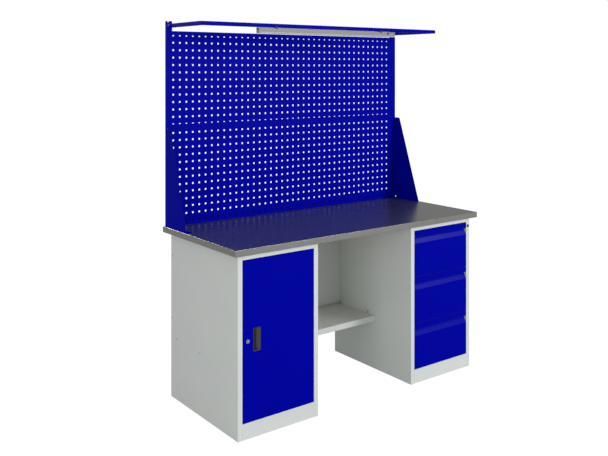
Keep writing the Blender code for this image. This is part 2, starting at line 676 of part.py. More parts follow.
def make_drawer_slides(number, finish, bay, slide_line):
    """Left and right slides of a drawer: a fixed rail on stand-off feet and a middle member."""
    fixed_skin, middle_skin, _, fixed_half, middle_half, _ = slide_sizes()
    level = BOX_LIFT + SLIDE_ABOVE_BOX_FLOOR
    run = (SLIDE_START, SLIDE_START + SLIDE_LENGTH)
    lip_end = fixed_skin - SLIDE_LIP
    for side, word in ((LEFT, "left"), (RIGHT, "right")):
        def channel(skin, half, span):
            height = (level - half, level + half)
            across = (side * skin, side * lip_end)
            faces = [flat('X', side * skin, span, height)]
            return faces + [flat('Z', z, across, span) for z in height], height
        faces, height = channel(fixed_skin, fixed_half, run)
        for end, inward in ((run[0], 1), (run[1], -1)):
            faces.append(flat('Y', end, (side * fixed_skin, side * HALF_INSIDE), height))
            foot = sorted((end, end + inward * SLIDE_FOOT))
            faces.append(flat('X', side * HALF_INSIDE, foot, height))
        folded_sheet(f"drawer_{number}_{word}_rail", faces, SLIDE_SHEET, (-side, 0, 0),
                     finish["zinc"], bay)
        middle_run = (run[0] + SLIDE_CLEARANCE, run[1] - SLIDE_CLEARANCE)
        faces, _ = channel(middle_skin, middle_half, middle_run)
        folded_sheet(f"drawer_{number}_{word}_middle", faces, MIDDLE_SHEET, (-side, 0, 0),
                     finish["zinc"], bay, slide_line)


def make_drawer_front(number, finish, drawer_line):
    """A front folded from one sheet, with a finger recess right across under its top strip."""
    height = drawer_height()
    strip = height - GRIP_STRIP
    span = (-HALF_OPENING + DRAWER_SIDE_GAP, HALF_OPENING - DRAWER_SIDE_GAP)
    path = [(FRONT_RETURN, FRONT_FIXING_LIP), (FRONT_RETURN, 0), (0, 0), (0, strip - GRIP_HEIGHT),
            (GRIP_DEPTH, strip), (0, strip), (0, height), (FRONT_RETURN, height)]
    folded_sheet(f"drawer_{number}_front", strip_along_x(path, span), FRONT_SHEET, (0, 1, 0),
                 finish["blue_paint"], drawer_line)


def make_drawer_box(number, finish, drawer_line):
    """An open box with a runner welded to each side and a lug for the central lock."""
    _, _, runner_face, _, _, runner_half = slide_sizes()
    half = HALF_OPENING - BOX_SIDE_SPACE
    front = FRONT_RETURN + GAP
    across = (-half, half)
    depth = (front, front + BOX_DEPTH)
    height = (BOX_LIFT, BOX_LIFT + BOX_HEIGHT)
    faces = [flat('Z', BOX_LIFT, across, depth)]
    faces += [flat('X', x, depth, height) for x in across]
    faces += [flat('Y', y, across, height) for y in depth]
    box = folded_sheet(f"drawer_{number}_box", faces, BOX_SHEET, (0, 0, -1), finish["grey_paint"],
                       drawer_line)
    level = BOX_LIFT + SLIDE_ABOVE_BOX_FLOOR
    run = (SLIDE_START, min(depth[1], SLIDE_START + SLIDE_LENGTH) - SLIDE_CLEARANCE)
    inner = half - RUNNER_SINK
    for side, word in ((LEFT, "left"), (RIGHT, "right")):
        x0, x1 = sorted((side * inner, side * runner_face))
        weld(box, block(f"drawer_{number}_{word}_runner", (x0, run[0], level - runner_half),
                        (x1, run[1], level + runner_half), None, drawer_line))
    lug_front = LOCK_BAR_FRONT + LOCK_BAR_SHEET + LUG_BEHIND_BAR
    lug_bottom = BOX_LIFT + LUG_ABOVE_BOX_FLOOR
    weld(box, block(f"drawer_{number}_lug", (inner, lug_front, lug_bottom),
                    (half + LUG_REACH, lug_front + LUG_LENGTH, lug_bottom + LUG_HEIGHT),
                    None, drawer_line))


def make_drawer_lock(finish, frame, wall, bay_levels):
    """A core in the right jamb whose eccentric pin lifts a bar with one tab for each drawer."""
    x = HALF_PEDESTAL - DRAWER_LOCK_FROM_SIDE
    centre = (x, 0, DRAWER_LOCK_HEIGHT)
    core_line = frame_at("drawer_lock_line", centre, frame)
    face = -DRAWER_LOCK_FACE - GAP
    core = turned("drawer_lock_core", 'Y', (0, 0, 0),
                  [(face, DRAWER_LOCK_RADIUS), (-GAP, DRAWER_LOCK_RADIUS),
                   (-GAP, DRAWER_LOCK_BODY_RADIUS), (LOCK_BAR_FRONT - GAP, DRAWER_LOCK_BODY_RADIUS)],
                  finish["dark_plastic"], core_line)
    cut_keyway(core, "drawer_lock_keyway", (0, 0), face, core_line, None)
    drill(wall, "drawer_lock_hole", 'Y', centre, DRAWER_LOCK_HOLE_RADIUS, CARCASS_SHEET * 3, frame)
    swing = ECCENTRIC * math.sqrt(0.5)
    pin_end = LOCK_BAR_FRONT + LOCK_BAR_SHEET
    weld(core, turned("drawer_lock_pin", 'Y', (swing, 0, -swing),
                      [(LOCK_BAR_FRONT - LOCK_BAR_SHEET, ECCENTRIC_PIN_RADIUS),
                       (pin_end, ECCENTRIC_PIN_RADIUS)], None, core_line, sides=HOLE_SIDES))

    bar_right = HALF_INSIDE
    bar_left = bar_right - LOCK_BAR_WIDTH
    outline = [(bar_right, LOCK_BAR_BOTTOM), (bar_right, LOCK_BAR_TOP), (bar_left, LOCK_BAR_TOP)]
    for level in sorted(bay_levels, reverse=True):
        tab_top = level + BOX_LIFT + LUG_ABOVE_BOX_FLOOR - LOCK_TAB_BELOW_LUG
        tab_bottom = tab_top - LOCK_TAB_HEIGHT
        tab_end = bar_left - LOCK_TAB_REACH
        outline += [(bar_left, tab_top), (tab_end, tab_top), (tab_end, tab_bottom), (bar_left, tab_bottom)]
    outline.append((bar_left, LOCK_BAR_BOTTOM))
    bar_line = frame_at("drawer_lock_bar_line", (bar_right, LOCK_BAR_FRONT, LOCK_BAR_BOTTOM), frame)
    bar = extruded("drawer_lock_bar", [(px, LOCK_BAR_FRONT, pz) for px, pz in outline],
                   (0, LOCK_BAR_SHEET, 0), finish["zinc"], frame, bar_line)
    clear = ECCENTRIC_PIN_RADIUS + ECCENTRIC_CLEARANCE
    slot_level = DRAWER_LOCK_HEIGHT - swing
    cut(bar, block("drawer_lock_slot",
                   (x + swing - clear, LOCK_BAR_FRONT - LOCK_BAR_SHEET, slot_level - clear),
                   (x + ECCENTRIC + clear, LOCK_BAR_FRONT + LOCK_BAR_SHEET * 2, slot_level + clear),
                   None, frame, bar_line))


def make_drawer_unit(finish):
    """The right pedestal: equal drawers on telescopic slides under one central lock."""
    frame = frame_at("drawer_unit_frame", (PEDESTAL_CENTRE, PEDESTAL_FRONT, 0))
    walls, _, _ = make_carcass("drawer_unit", RIGHT, finish, frame)
    pitch = drawer_height() + DRAWER_SPACING
    bay_levels = [PLINTH_HEIGHT + DRAWER_SPACING + pitch * index for index in range(DRAWER_COUNT)]
    for index, level in enumerate(reversed(bay_levels)):
        number = index + 1
        bay = frame_at(f"drawer_{number}_bay", (0, 0, level), frame)
        slide_line = frame_at(f"drawer_{number}_slide_line", (0, 0, 0), bay)
        drawer_line = frame_at(f"drawer_{number}_line", (0, 0, 0), bay)
        make_drawer_slides(number, finish, bay, slide_line)
        make_drawer_front(number, finish, drawer_line)
        make_drawer_box(number, finish, drawer_line)
    make_drawer_lock(finish, frame, walls[RIGHT], bay_levels)


def make_knee_space(finish):
    """The panel and the half-depth shelf bolted between the pedestals."""
    back_face = KNEE_BACK_FACE
    half = HALF_KNEE - GAP
    across = (-half, half)
    low = KNEE_SHELF_HEIGHT - KNEE_SHELF_APRON
    height = (low, PEDESTAL_HEIGHT)
    returns = (back_face, back_face + KNEE_BACK_FLANGE)
    faces = [flat('Y', back_face, across, height)]
    faces += [flat('X', x, returns, height) for x in across]
    faces += [flat('Z', z, across, returns) for z in height]
    folded_sheet("knee_back_panel", faces, KNEE_BACK_SHEET, (0, -1, 0), finish["grey_paint"])

    skin_half = half - KNEE_SHELF_SHEET
    rear = back_face - GAP - KNEE_SHELF_SHEET
    front = KNEE_SHELF_FRONT
    span = (-skin_half, skin_half)
    upstand = (KNEE_SHELF_HEIGHT, KNEE_SHELF_HEIGHT + KNEE_SHELF_UPSTAND)
    faces = [flat('Z', KNEE_SHELF_HEIGHT, span, (front, rear))]
    faces += [flat('X', x, (front, rear), upstand) for x in span]
    faces += [flat('Y', rear, span, upstand), flat('Y', front, span, (low, KNEE_SHELF_HEIGHT)),
              flat('Z', low, span, (front, front + KNEE_SHELF_LIP))]
    shelf = folded_sheet("knee_shelf", faces, KNEE_SHELF_SHEET, (0, 0, 1), finish["grey_paint"])
    for side, word in ((LEFT, "left"), (RIGHT, "right")):
        for index, y in enumerate(KNEE_BOLT_PLACES):
            drill(shelf, f"knee_shelf_{word}_hole_{index}", 'X', (side * half, y, KNEE_BOLT_HEIGHT),
                  FIXING_HOLE_RADIUS, KNEE_SHELF_SHEET * 3, sides=HOLE_SIDES)


def make_post(side, word, finish):
    """A lipped channel, open to the rear, with a spigot at its top for the overhead frame."""
    outer = side * HALF_SCREEN
    inner = side * POST_INNER
    rear = SCREEN_FACE + POST_DEPTH
    height = (TOP_FACE, POST_TOP)
    depth = (POST_FACE, rear)
    faces = [flat('Y', POST_FACE, (outer, inner), height)]
    faces += [flat('X', x, depth, height) for x in (outer, inner)]
    faces += [flat('Y', rear, (outer, outer - side * POST_LIP), height),
              flat('Y', rear, (inner, inner + side * POST_LIP), height)]
    post = folded_sheet(f"post_{word}", faces, POST_SHEET, (0, -1, 0), finish["blue_paint"])
    notch = sorted((outer - side * POST_NOTCH_FROM_SIDE,
                    outer - side * (POST_NOTCH_FROM_SIDE + POST_NOTCH_WIDTH)))
    cut(post, block(f"post_{word}_notch", (notch[0], POST_FACE - POST_SHEET, POST_TOP - POST_NOTCH_DEPTH),
                    (notch[1], POST_FACE + POST_SHEET * 1.5, POST_TOP + POST_NOTCH_DEPTH)))
    half = FRAME_TUBE / 2 - FRAME_WALL - GAP
    middle = side * FRAME_SIDE
    spigot = block(f"post_{word}_spigot",
                   (middle - half, POST_FACE - SPIGOT_LENGTH, FRAME_LEVEL - half),
                   (middle + half, POST_FACE + POST_SHEET / 2, FRAME_LEVEL + half))
    weld(post, spigot)
    drill(post, f"post_{word}_bolt_hole", 'X', (middle, POST_FACE - FRAME_BOLT_FROM_POST, FRAME_LEVEL),
          FRAME_BOLT_RADIUS + GAP, FRAME_TUBE)


def make_gusset(side, word, finish):
    """A tapered plate up the screen's side, folded into a foot on the worktop."""
    x = side * (HALF_SCREEN + GAP + GUSSET_SHEET)
    foot_end = x - side * GUSSET_FOOT
    top = TOP_FACE + GUSSET_HEIGHT
    rear = SCREEN_FACE + GUSSET_REAR
    toe = SCREEN_FACE - GUSSET_FOOT_REACH
    brow = SCREEN_FACE - GUSSET_TOP_REACH
    slope = Vector((brow - toe, GUSSET_HEIGHT)).normalized()
    lean = math.atan2(slope.x, slope.y)
    corner = math.pi / 2 - lean
    setback = GUSSET_CORNER_RADIUS * math.tan(corner / 2)
    centre = (brow + setback, top - GUSSET_CORNER_RADIUS)
    arc = [(centre[0] - GUSSET_CORNER_RADIUS * math.sin(turn), centre[1] + GUSSET_CORNER_RADIUS * math.cos(turn))
           for turn in (corner * step / 4 for step in range(5))]
    relief_front = SCREEN_FACE - GUSSET_RELIEF_WIDTH
    outline = [(rear, TOP_FACE), (rear, top)] + arc + [
        (toe, TOP_FACE), (relief_front, TOP_FACE), (relief_front, TOP_FACE + GUSSET_RELIEF_HEIGHT),
        (SCREEN_FACE, TOP_FACE + GUSSET_RELIEF_HEIGHT), (SCREEN_FACE, TOP_FACE)]
    plate = [(x, y, z) for y, z in outline]
    foot = flat('Z', TOP_FACE, (x, foot_end), (toe, relief_front))
    folded_sheet(f"gusset_{word}", [plate, foot], GUSSET_SHEET, (side, 0, 0), finish["blue_paint"])


def hole_grid_cutter(name, bottom):
    """Square punches on the screen's grid, all in one tool."""
    mesh_data = bmesh.new()
    first_x = -HOLE_PITCH * (HOLE_COLUMNS - 1) / 2
    first_z = bottom + (PANEL_HEIGHT - HOLE_PITCH * (HOLE_ROWS - 1)) / 2
    size = Matrix.Diagonal((HOLE_SIZE, PANEL_SHEET * 6, HOLE_SIZE, 1))
    for column in range(0, HOLE_COLUMNS, HOLE_STEP):
        for row in range(0, HOLE_ROWS, HOLE_STEP):
            place = Vector((first_x + HOLE_PITCH * column, SCREEN_FACE, first_z + HOLE_PITCH * row))
            bmesh.ops.create_cube(mesh_data, size=1, matrix=Matrix.Translation(place) @ size)
    return add_object(name, mesh_data, None)


def make_screen_panel(index, word, finish):
    """A perforated panel with its top and bottom edges folded back and in, between the posts."""
    bottom = WORKTOP_HEIGHT + PANEL_HEIGHT * index
    height = (bottom + GAP, bottom + PANEL_HEIGHT)
    across = (-POST_INNER + GAP, POST_INNER - GAP)
    rear = SCREEN_FACE + PANEL_RETURN
    faces = [flat('Y', SCREEN_FACE, (-HALF_SCREEN, HALF_SCREEN), height)]
    for edge, inward in ((height[0], 1), (height[1], -1)):
        faces.append(flat('Z', edge, across, (SCREEN_FACE, rear)))
        faces.append(flat('Y', rear, across, (edge, edge + inward * PANEL_LIP)))
    panel = folded_sheet(f"perforated_panel_{word}", faces, PANEL_SHEET, (0, -1, 0), finish["blue_paint"])
    cut(panel, hole_grid_cutter(f"perforated_panel_{word}_punches", bottom))


def frame_path():
    """The overhead frame's centre line: (x, y, heading, stretch) from the left post round to the right.

    A section on a mitre stands across the corner, so it is wider by the root of two.
    """
    start = POST_FACE - GAP
    mitre = math.sqrt(2)
    return [(-FRAME_SIDE, start, -math.pi / 2, 1), (-FRAME_SIDE, FRAME_BAR_LINE, -math.pi / 4, mitre),
            (FRAME_SIDE, FRAME_BAR_LINE, math.pi / 4, mitre), (FRAME_SIDE, start, math.pi / 2, 1)]


def tube_section(stop, half):
    """A square loop round one stop of the frame's path."""
    x, y, heading, stretch = stop
    left_x, left_y = -math.sin(heading) * stretch, math.cos(heading) * stretch
    return [(x + left_x * across * half, y + left_y * across * half, FRAME_LEVEL + up * half)
            for across, up in ((1, 1), (-1, 1), (-1, -1), (1, -1))]


def make_overhead_frame(finish):
    """A square tube mitred at its two front corners, its open ends pushed over the posts' spigots."""
    stops = frame_path()
    half = FRAME_TUBE / 2
    sections = [tube_section(stop, half) for stop in stops]
    sections += [tube_section(stop, half - FRAME_WALL) for stop in reversed(stops)]
    tube = lofted("overhead_frame", sections, finish["blue_paint"], closed=True)
    y = POST_FACE - FRAME_BOLT_FROM_POST
    for side, word in ((LEFT, "left"), (RIGHT, "right")):
        drill(tube, f"overhead_frame_hole_{word}", 'X', (side * FRAME_SIDE, y, FRAME_LEVEL),
              FRAME_BOLT_RADIUS + GAP, FRAME_TUBE)
        seat = side * (HALF_SCREEN + GAP)
        stations = [(side * FRAME_BOLT_HEAD, FRAME_BOLT_HEAD_RADIUS * 0.7),
                    (side * FRAME_BOLT_HEAD * 0.6, FRAME_BOLT_HEAD_RADIUS),
                    (0, FRAME_BOLT_HEAD_RADIUS), (0, FRAME_BOLT_RADIUS),
                    (-side * (FRAME_TUBE + FRAME_WALL), FRAME_BOLT_RADIUS)]
        turned(f"frame_bolt_{word}", 'X', (seat, y, FRAME_LEVEL), stations, finish["blue_paint"])


def make_lamp(finish):
    """A slim batten lamp held under the frame's front bar by two clips."""
    half = LAMP_LENGTH / 2
    top = FRAME_BOTTOM - GAP * 2 - CLIP_SHEET
    bottom = top - LAMP_HEIGHT
    depth = (FRAME_BAR_LINE - LAMP_DEPTH / 2, FRAME_BAR_LINE + LAMP_DEPTH / 2)
    across = (-half, half)
    faces = [flat('Z', top, across, depth)]
    faces += [flat('X', x, depth, (bottom, top)) for x in across]
    faces += [flat('Y', y, across, (bottom, top)) for y in depth]
    body = folded_sheet("lamp_body", faces, LAMP_SHEET, (0, 0, 1), finish["lamp_grey"])
    cover = (bottom - GAP - DIFFUSER_HEIGHT, bottom - GAP)
    faces = [flat('Z', cover[0], across, depth)]
    faces += [flat('X', x, depth, cover) for x in across]
    faces += [flat('Y', y, across, cover) for y in depth]
    folded_sheet("lamp_diffuser", faces, DIFFUSER_WALL, (0, 0, -1), finish["diffuser"])
    board_top = top - LAMP_SHEET - GAP
    block("lamp_led_board",
          (-half + LED_BOARD_END_GAP, FRAME_BAR_LINE - LED_BOARD_WIDTH / 2, board_top - LED_BOARD_THICKNESS),
          (half - LED_BOARD_END_GAP, FRAME_BAR_LINE + LED_BOARD_WIDTH / 2, board_top), finish["led_white"])

    clip_top = FRAME_BOTTOM - GAP
    clip_bottom = clip_top - CLIP_SHEET
    lip_back = depth[0] - GAP
    lip_front = lip_back - CLIP_SHEET
    rear = FRAME_BAR_LINE + FRAME_TUBE / 2
    for side, word in ((LEFT, "left"), (RIGHT, "right")):
        x = side * (half - CLIP_FROM_END) - CLIP_WIDTH / 2
        outline = [(rear, clip_top), (lip_back, clip_top), (lip_back, clip_top + CLIP_LIP),
                   (lip_front, clip_top + CLIP_LIP), (lip_front, clip_bottom - CLIP_LIP),
                   (lip_back, clip_bottom - CLIP_LIP), (lip_back, clip_bottom), (rear, clip_bottom)]
        extruded(f"lamp_clip_{word}", [(x, y, z) for y, z in outline], (CLIP_WIDTH, 0, 0), finish["dark_plastic"])

    level = bottom + SWITCH_ABOVE_LAMP_BOTTOM
    centre = (half - SWITCH_FROM_END, depth[0], level)
    drill(body, "lamp_switch_hole", 'Y', centre, SWITCH_HOLE_RADIUS, LAMP_SHEET * 3)
    switch_line = frame_at("lamp_switch_line", centre)
    inner = LAMP_SHEET + SWITCH_BEHIND_WALL
    turned("lamp_switch", 'Y', (0, 0, 0),
           [(-SWITCH_PROUD, SWITCH_RADIUS), (inner, SWITCH_RADIUS),
            (inner, SWITCH_BASE_RADIUS), (inner + SWITCH_BASE, SWITCH_BASE_RADIUS)],
           finish["dark_plastic"], switch_line)


def make_screen(finish):
    for side, word in ((LEFT, "left"), (RIGHT, "right")):
        make_post(side, word, finish)
        make_gusset(side, word, finish)
    for index, word in enumerate(("lower", "upper")[:PANEL_COUNT]):
        make_screen_panel(index, word, finish)


def main():
    clear_scene()
    finish = make_finishes()
    make_worktop(finish)
    make_cabinet(finish)
    make_drawer_unit(finish)
    make_knee_space(finish)
    make_screen(finish)
    make_overhead_frame(finish)
    make_lamp(finish)


main()
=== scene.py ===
"""Workbench: finishes, fittings and a studio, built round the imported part."""

import json
import math

import bmesh
import bpy
from bpy.props import FloatProperty, FloatVectorProperty, IntProperty, PointerProperty
from mathutils import Matrix, Vector


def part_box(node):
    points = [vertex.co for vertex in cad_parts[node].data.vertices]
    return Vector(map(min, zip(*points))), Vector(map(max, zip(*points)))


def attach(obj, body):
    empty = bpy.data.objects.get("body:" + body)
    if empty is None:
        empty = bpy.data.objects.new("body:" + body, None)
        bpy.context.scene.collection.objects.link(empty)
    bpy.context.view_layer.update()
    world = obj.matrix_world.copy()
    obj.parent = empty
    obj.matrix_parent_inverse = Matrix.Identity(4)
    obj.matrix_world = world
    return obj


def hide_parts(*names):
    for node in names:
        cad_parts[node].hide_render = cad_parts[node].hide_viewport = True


bl_info = {
    "name": "Workbench Finisher",
    "version": (1, 0, 0),
    "blender": (4, 5, 0),
    "location": "3D View > Sidebar > Workbench",
    "description": "Rounds the folds of a sheet steel workbench, fits its small parts and paints it",
    "category": "Object",
}

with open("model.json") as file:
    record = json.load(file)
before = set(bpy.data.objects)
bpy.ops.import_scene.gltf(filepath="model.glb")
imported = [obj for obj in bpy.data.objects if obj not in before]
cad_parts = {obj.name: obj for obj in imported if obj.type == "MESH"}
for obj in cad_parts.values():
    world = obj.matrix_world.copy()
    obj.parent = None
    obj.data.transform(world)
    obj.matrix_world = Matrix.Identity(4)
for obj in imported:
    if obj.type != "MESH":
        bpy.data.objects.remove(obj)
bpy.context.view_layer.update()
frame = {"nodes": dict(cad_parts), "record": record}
BODY_OF = {node: body for body, nodes in frame["record"]["behaviour"]["bodies"].items() for node in nodes}
SLOT_OF = {part["node"]: part["material_slot"] for part in frame["record"]["subparts"]}

QUARTER_TURN = math.pi / 2
MERGE = 1e-5                    # vertices nearer than this become one
SAME = 1e-7                     # how near two places are that count as one
TOUCH = 2e-4                    # how near a plane a vertex lies to count as on it
GAP = 0.0003                    # clearance between solids that touch
SMOOTH_ANGLE = math.radians(40)
FOLD_ANGLE = math.radians(20)
FLAT_ANGLE = math.radians(0.5)
FOLD_SEGMENTS = 3
SHEET_THICKEST = 0.0026         # a narrower face is the cut edge of a sheet
THIN_SHEET = 0.7                # radii on thin sheet against those on the rest
SQUARE_ON = 0.985               # a face whose normal stays below this on each axis is slanted
DOME_STEPS = 5
LEFT, RIGHT = -1, 1
SIDES = ((LEFT, "left"), (RIGHT, "right"))
DRAWERS = (1, 2, 3)
FRONT, UP = (0.0, -1.0, 0.0), (0.0, 0.0, 1.0)
TURN_TO_REAR = Matrix.Rotation(-QUARTER_TURN, 4, 'X')
TURN_TO_FRONT = Matrix.Rotation(QUARTER_TURN, 4, 'X')
TURN_TO_SIDE = {side: Matrix.Rotation(side * QUARTER_TURN, 4, 'Y') for side in (LEFT, RIGHT)}


def colour_property(name, description, value):
    return FloatVectorProperty(name=name, description=description, subtype='COLOR', size=4,
                               min=0.0, max=1.0, default=(*value, 1.0))


def length_property(name, description, value):
    return FloatProperty(name=name, description=description, subtype='DISTANCE', unit='LENGTH',
                         min=0.0, precision=5, default=value)


def number_property(name, description, value):
    return FloatProperty(name=name, description=description, default=value)


class WorkbenchPaint(bpy.types.PropertyGroup):
    """Colours of the bench's finishes."""

    blue: colour_property("Blue", "Doors, drawers, panels, posts and overhead frame",
                          (0.0002, 0.0016, 0.375))
    grey: colour_property("Grey", "Pedestals, knee shelf and drawer boxes", (0.735, 0.77, 0.745))
    steel: colour_property("Steel", "The worktop's steel skin", (0.235, 0.235, 0.222))
    board: colour_property("Board", "The board inside the worktop", (0.36, 0.23, 0.12))
    zinc: colour_property("Zinc", "Slides, cam and bolts", (0.55, 0.56, 0.58))
    chrome: colour_property("Chrome", "The door's lock", (0.44, 0.46, 0.46))
    plastic: colour_property("Plastic", "Door pull, drawer lock, lamp clips and switch",
                             (0.010, 0.011, 0.008))
    lamp: colour_property("Lamp", "Lamp housing", (0.25, 0.25, 0.228))
    cover: colour_property("Cover", "The lamp's milky cover", (0.48, 0.48, 0.47))
    circuit: colour_property("Circuit board", "The board that carries the lamp's diodes",
                             (0.85, 0.85, 0.78))


class WorkbenchSizes(bpy.types.PropertyGroup):
    """Sizes of the details that are added to the bench."""

    fold_radius: length_property("Fold radius", "Outside radius of a fold in the sheet", 0.0014)
    cut_radius: length_property("Cut edge radius", "Softening of a cut edge", 0.0003)
    hole: length_property("Hole", "Side of a square hole in the tool panels", 0.0092)
    pitch: length_property("Pitch", "Distance between neighbouring holes", 0.038)
    hole_corner: length_property("Hole corner", "Radius of a hole's corners", 0.0014)
    columns: IntProperty(name="Columns", description="Holes across a tool panel", default=41, min=1)
    rows: IntProperty(name="Rows", description="Holes up a tool panel", default=13, min=1)
    tube_corner: length_property("Tube corner", "Corner radius of the overhead tube", 0.0025)
    tube_wall: length_property("Tube wall", "Wall of the overhead tube", 0.0015)
    bolt_head: length_property("Bolt head", "Radius of a small bolt's head", 0.0055)
    strip: length_property("Strip", "Height of a solid drawer front's strip above its finger recess",
                           0.026)
    strip_drop: length_property("Strip drop", "How much higher the strip is made than the solid's",
                                0.006)
    pull_rim: length_property("Pull rim", "Visible rim of the door pull", 0.0030)


class WorkbenchStudio(bpy.types.PropertyGroup):
    """Camera and light."""

    camera_place: FloatVectorProperty(name="Camera", description="Where the camera stands",
                                      subtype='TRANSLATION', unit='LENGTH', size=3,
                                      default=(-2.679, -3.350, 1.6788))
    camera_turn: FloatProperty(name="Turn", description="Camera heading, clockwise from the rear",
                               subtype='ANGLE', unit='ROTATION', default=math.radians(36.976))
    lens: number_property("Lens", "Focal length in millimetres", 47.17)
    rise: number_property("Rise", "Vertical shift that frames the photograph", -0.2632)
    sky: number_property("Sky", "Light from all round", 0.50)
    mirrored: number_property("Mirrored", "Strength of the backdrop in reflections", 0.37)
    floor_mirrored: number_property("Floor mirrored", "Strength of the white floor in reflections",
                                    0.45)
    key: number_property("Key light", "Power of the main lamp in watts", 430.0)
    fill: number_property("Fill light", "Power of the lamp on the left", 38.0)
    shine: number_property("Shine light", "Power of the lamp that only shows as the drawers' gloss",
                           650.0)
    rim: number_property("Rim light", "Power of the rear lamp that only shows as gloss", 280.0)
    floor_white: FloatProperty(name="Floor white", description="Share of the floor's shadow that is hidden",
                               default=0.87, min=0.0, max=1.0)


def paint():
    return bpy.context.scene.workbench_paint


def sizes():
    return bpy.context.scene.workbench_sizes


def studio():
    return bpy.context.scene.workbench_studio


# Finishes

def add_node(tree, kind, place, inputs=None, **settings):
    """A node at a place in its tree, with the given inputs set or linked."""
    node = tree.nodes.new(kind)
    node.location = place
    for key, value in settings.items():
        setattr(node, key, value)
    for key, value in (inputs or {}).items():
        if isinstance(value, bpy.types.NodeSocket):
            tree.links.new(value, node.inputs[key])
        else:
            node.inputs[key].default_value = value
    return node


def noise(tree, place, vector, scale, detail, roughness, distortion=0.0):
    return add_node(tree, 'ShaderNodeTexNoise', place,
                    {"Vector": vector, "Scale": scale, "Detail": detail, "Roughness": roughness,
                     "Distortion": distortion}).outputs[0]


def reckon(tree, place, operation, first, second):
    return add_node(tree, 'ShaderNodeMath', place, {0: first, 1: second}, operation=operation).outputs[0]


def spread(tree, place, value, low, high):
    """A value from 0 to 1, spread between two levels."""
    return add_node(tree, 'ShaderNodeMapRange', place,
                    {"Value": value, "To Min": low, "To Max": high}).outputs[0]


def blend(tree, place, factor, first, second, how='MIX'):
    """Two colours as one. A Mix node's colours are its inputs 6 and 7."""
    return add_node(tree, 'ShaderNodeMix', place, {"Factor": factor, 6: first, 7: second},
                    data_type='RGBA', blend_type=how).outputs[2]


def scaled_colour(tree, place, colour, low, high, factor):
    """The colour, made darker or lighter between two levels by a factor."""
    level = spread(tree, place, factor, low, high)
    return blend(tree, (place[0] + 200, place[1]), 1.0, colour, level, 'MULTIPLY')


def open_group(name, inputs):
    """A group for (name, kind, default) inputs that puts out a colour, a roughness and a height."""
    tree = bpy.data.node_groups.new(name, 'ShaderNodeTree')
    for label, kind, value in inputs:
        socket = tree.interface.new_socket(name=label, in_out='INPUT', socket_type=f"NodeSocket{kind}")
        if value is not None:
            socket.default_value = value
    for label, kind in (("Colour", "Color"), ("Roughness", "Float"), ("Height", "Float")):
        tree.interface.new_socket(name=label, in_out='OUTPUT', socket_type=f"NodeSocket{kind}")
    return tree, add_node(tree, 'NodeGroupInput', (-900, 0)).outputs


def close_group(tree, colour, roughness, height):
    add_node(tree, 'NodeGroupOutput', (600, 0),
             {"Colour": colour, "Roughness": roughness, "Height": height})
    return tree


def coat_group():
    """Powder coat: orange peel, slight clouding, and a painted highlight that lightens folds and slanted
    faces.
    """
    tree, given = open_group("powder_coat", (
        ("Vector", "Vector", None), ("Colour", "Color", None), ("Highlight share", "Float", 0.0),
        ("Highlight colour", "Color", None), ("Roughness", "Float", 0.45), ("Peel size", "Float", 500.0)))
    peel = noise(tree, (-500, -300), given["Vector"], given["Peel size"], 2.0, 0.4)
    cloud = noise(tree, (-500, 100), given["Vector"], 5.0, 4.0, 0.6)
    tinted = scaled_colour(tree, (-250, 250), given["Colour"], 0.96, 1.04, cloud)
    # Folds and slants are blended towards a lighter colour, a painted highlight.
    painted_highlight = blend(tree, (200, 250), given["Highlight share"], tinted, given["Highlight colour"])
    drift = spread(tree, (-250, 0), cloud, -0.06, 0.06)
    rough = reckon(tree, (0, 0), 'ADD', given["Roughness"], drift)
    return close_group(tree, painted_highlight, rough, peel)


def brushed_group():
    """Rolled or brushed metal: fine lines along one direction, soft clouds and faint smears."""
    tree, given = open_group("brushed_metal", (
        ("Vector", "Vector", None), ("Lines", "Vector", (6.0, 900.0, 900.0)),
        ("Colour", "Color", None), ("Roughness", "Float", 0.3)))
    stretched = add_node(tree, 'ShaderNodeVectorMath', (-700, -200),
                         {0: given["Vector"], 1: given["Lines"]}, operation='MULTIPLY').outputs[0]
    lines = noise(tree, (-500, -200), stretched, 1.0, 3.0, 0.6)
    smears = noise(tree, (-500, 150), given["Vector"], 4.0, 5.0, 0.65, 0.6)
    tinted = scaled_colour(tree, (-250, 300), given["Colour"], 0.96, 1.04, smears)
    lined = scaled_colour(tree, (150, 300), tinted, 0.97, 1.03, lines)
    drift = reckon(tree, (0, -100), 'ADD', spread(tree, (-250, 0), smears, -0.02, 0.02),
                   spread(tree, (-250, -250), lines, -0.02, 0.02))
    rough = reckon(tree, (200, -50), 'ADD', given["Roughness"], drift)
    return close_group(tree, lined, rough, lines)


def new_finish(name, metallic, specular):
    """A new material's tree, its Principled shader and its object coordinates."""
    material = bpy.data.materials.new(f"{name}_finish")
    material.use_nodes = True
    tree = material.node_tree
    shader = tree.nodes["Principled BSDF"]
    shader.inputs["Metallic"].default_value = metallic
    shader.inputs["Specular IOR Level"].default_value = specular
    return tree, shader, add_node(tree, 'ShaderNodeTexCoord', (-900, 0)).outputs["Object"]


def emboss(tree, shader, depth, height):
    bump = add_node(tree, 'ShaderNodeBump', (-250, -300),
                    {"Strength": 1.0, "Distance": depth, "Height": height})
    tree.links.new(bump.outputs["Normal"], shader.inputs["Normal"])


def wear_group(tree, shader, group, depth, values):
    """Place an effect group and link its colour, roughness and height to the shader."""
    effect = add_node(tree, 'ShaderNodeGroup', (-500, 0), values, node_tree=group).outputs
    tree.links.new(effect["Colour"], shader.inputs["Base Color"])
    tree.links.new(effect["Roughness"], shader.inputs["Roughness"])
    emboss(tree, shader, depth, effect["Height"])


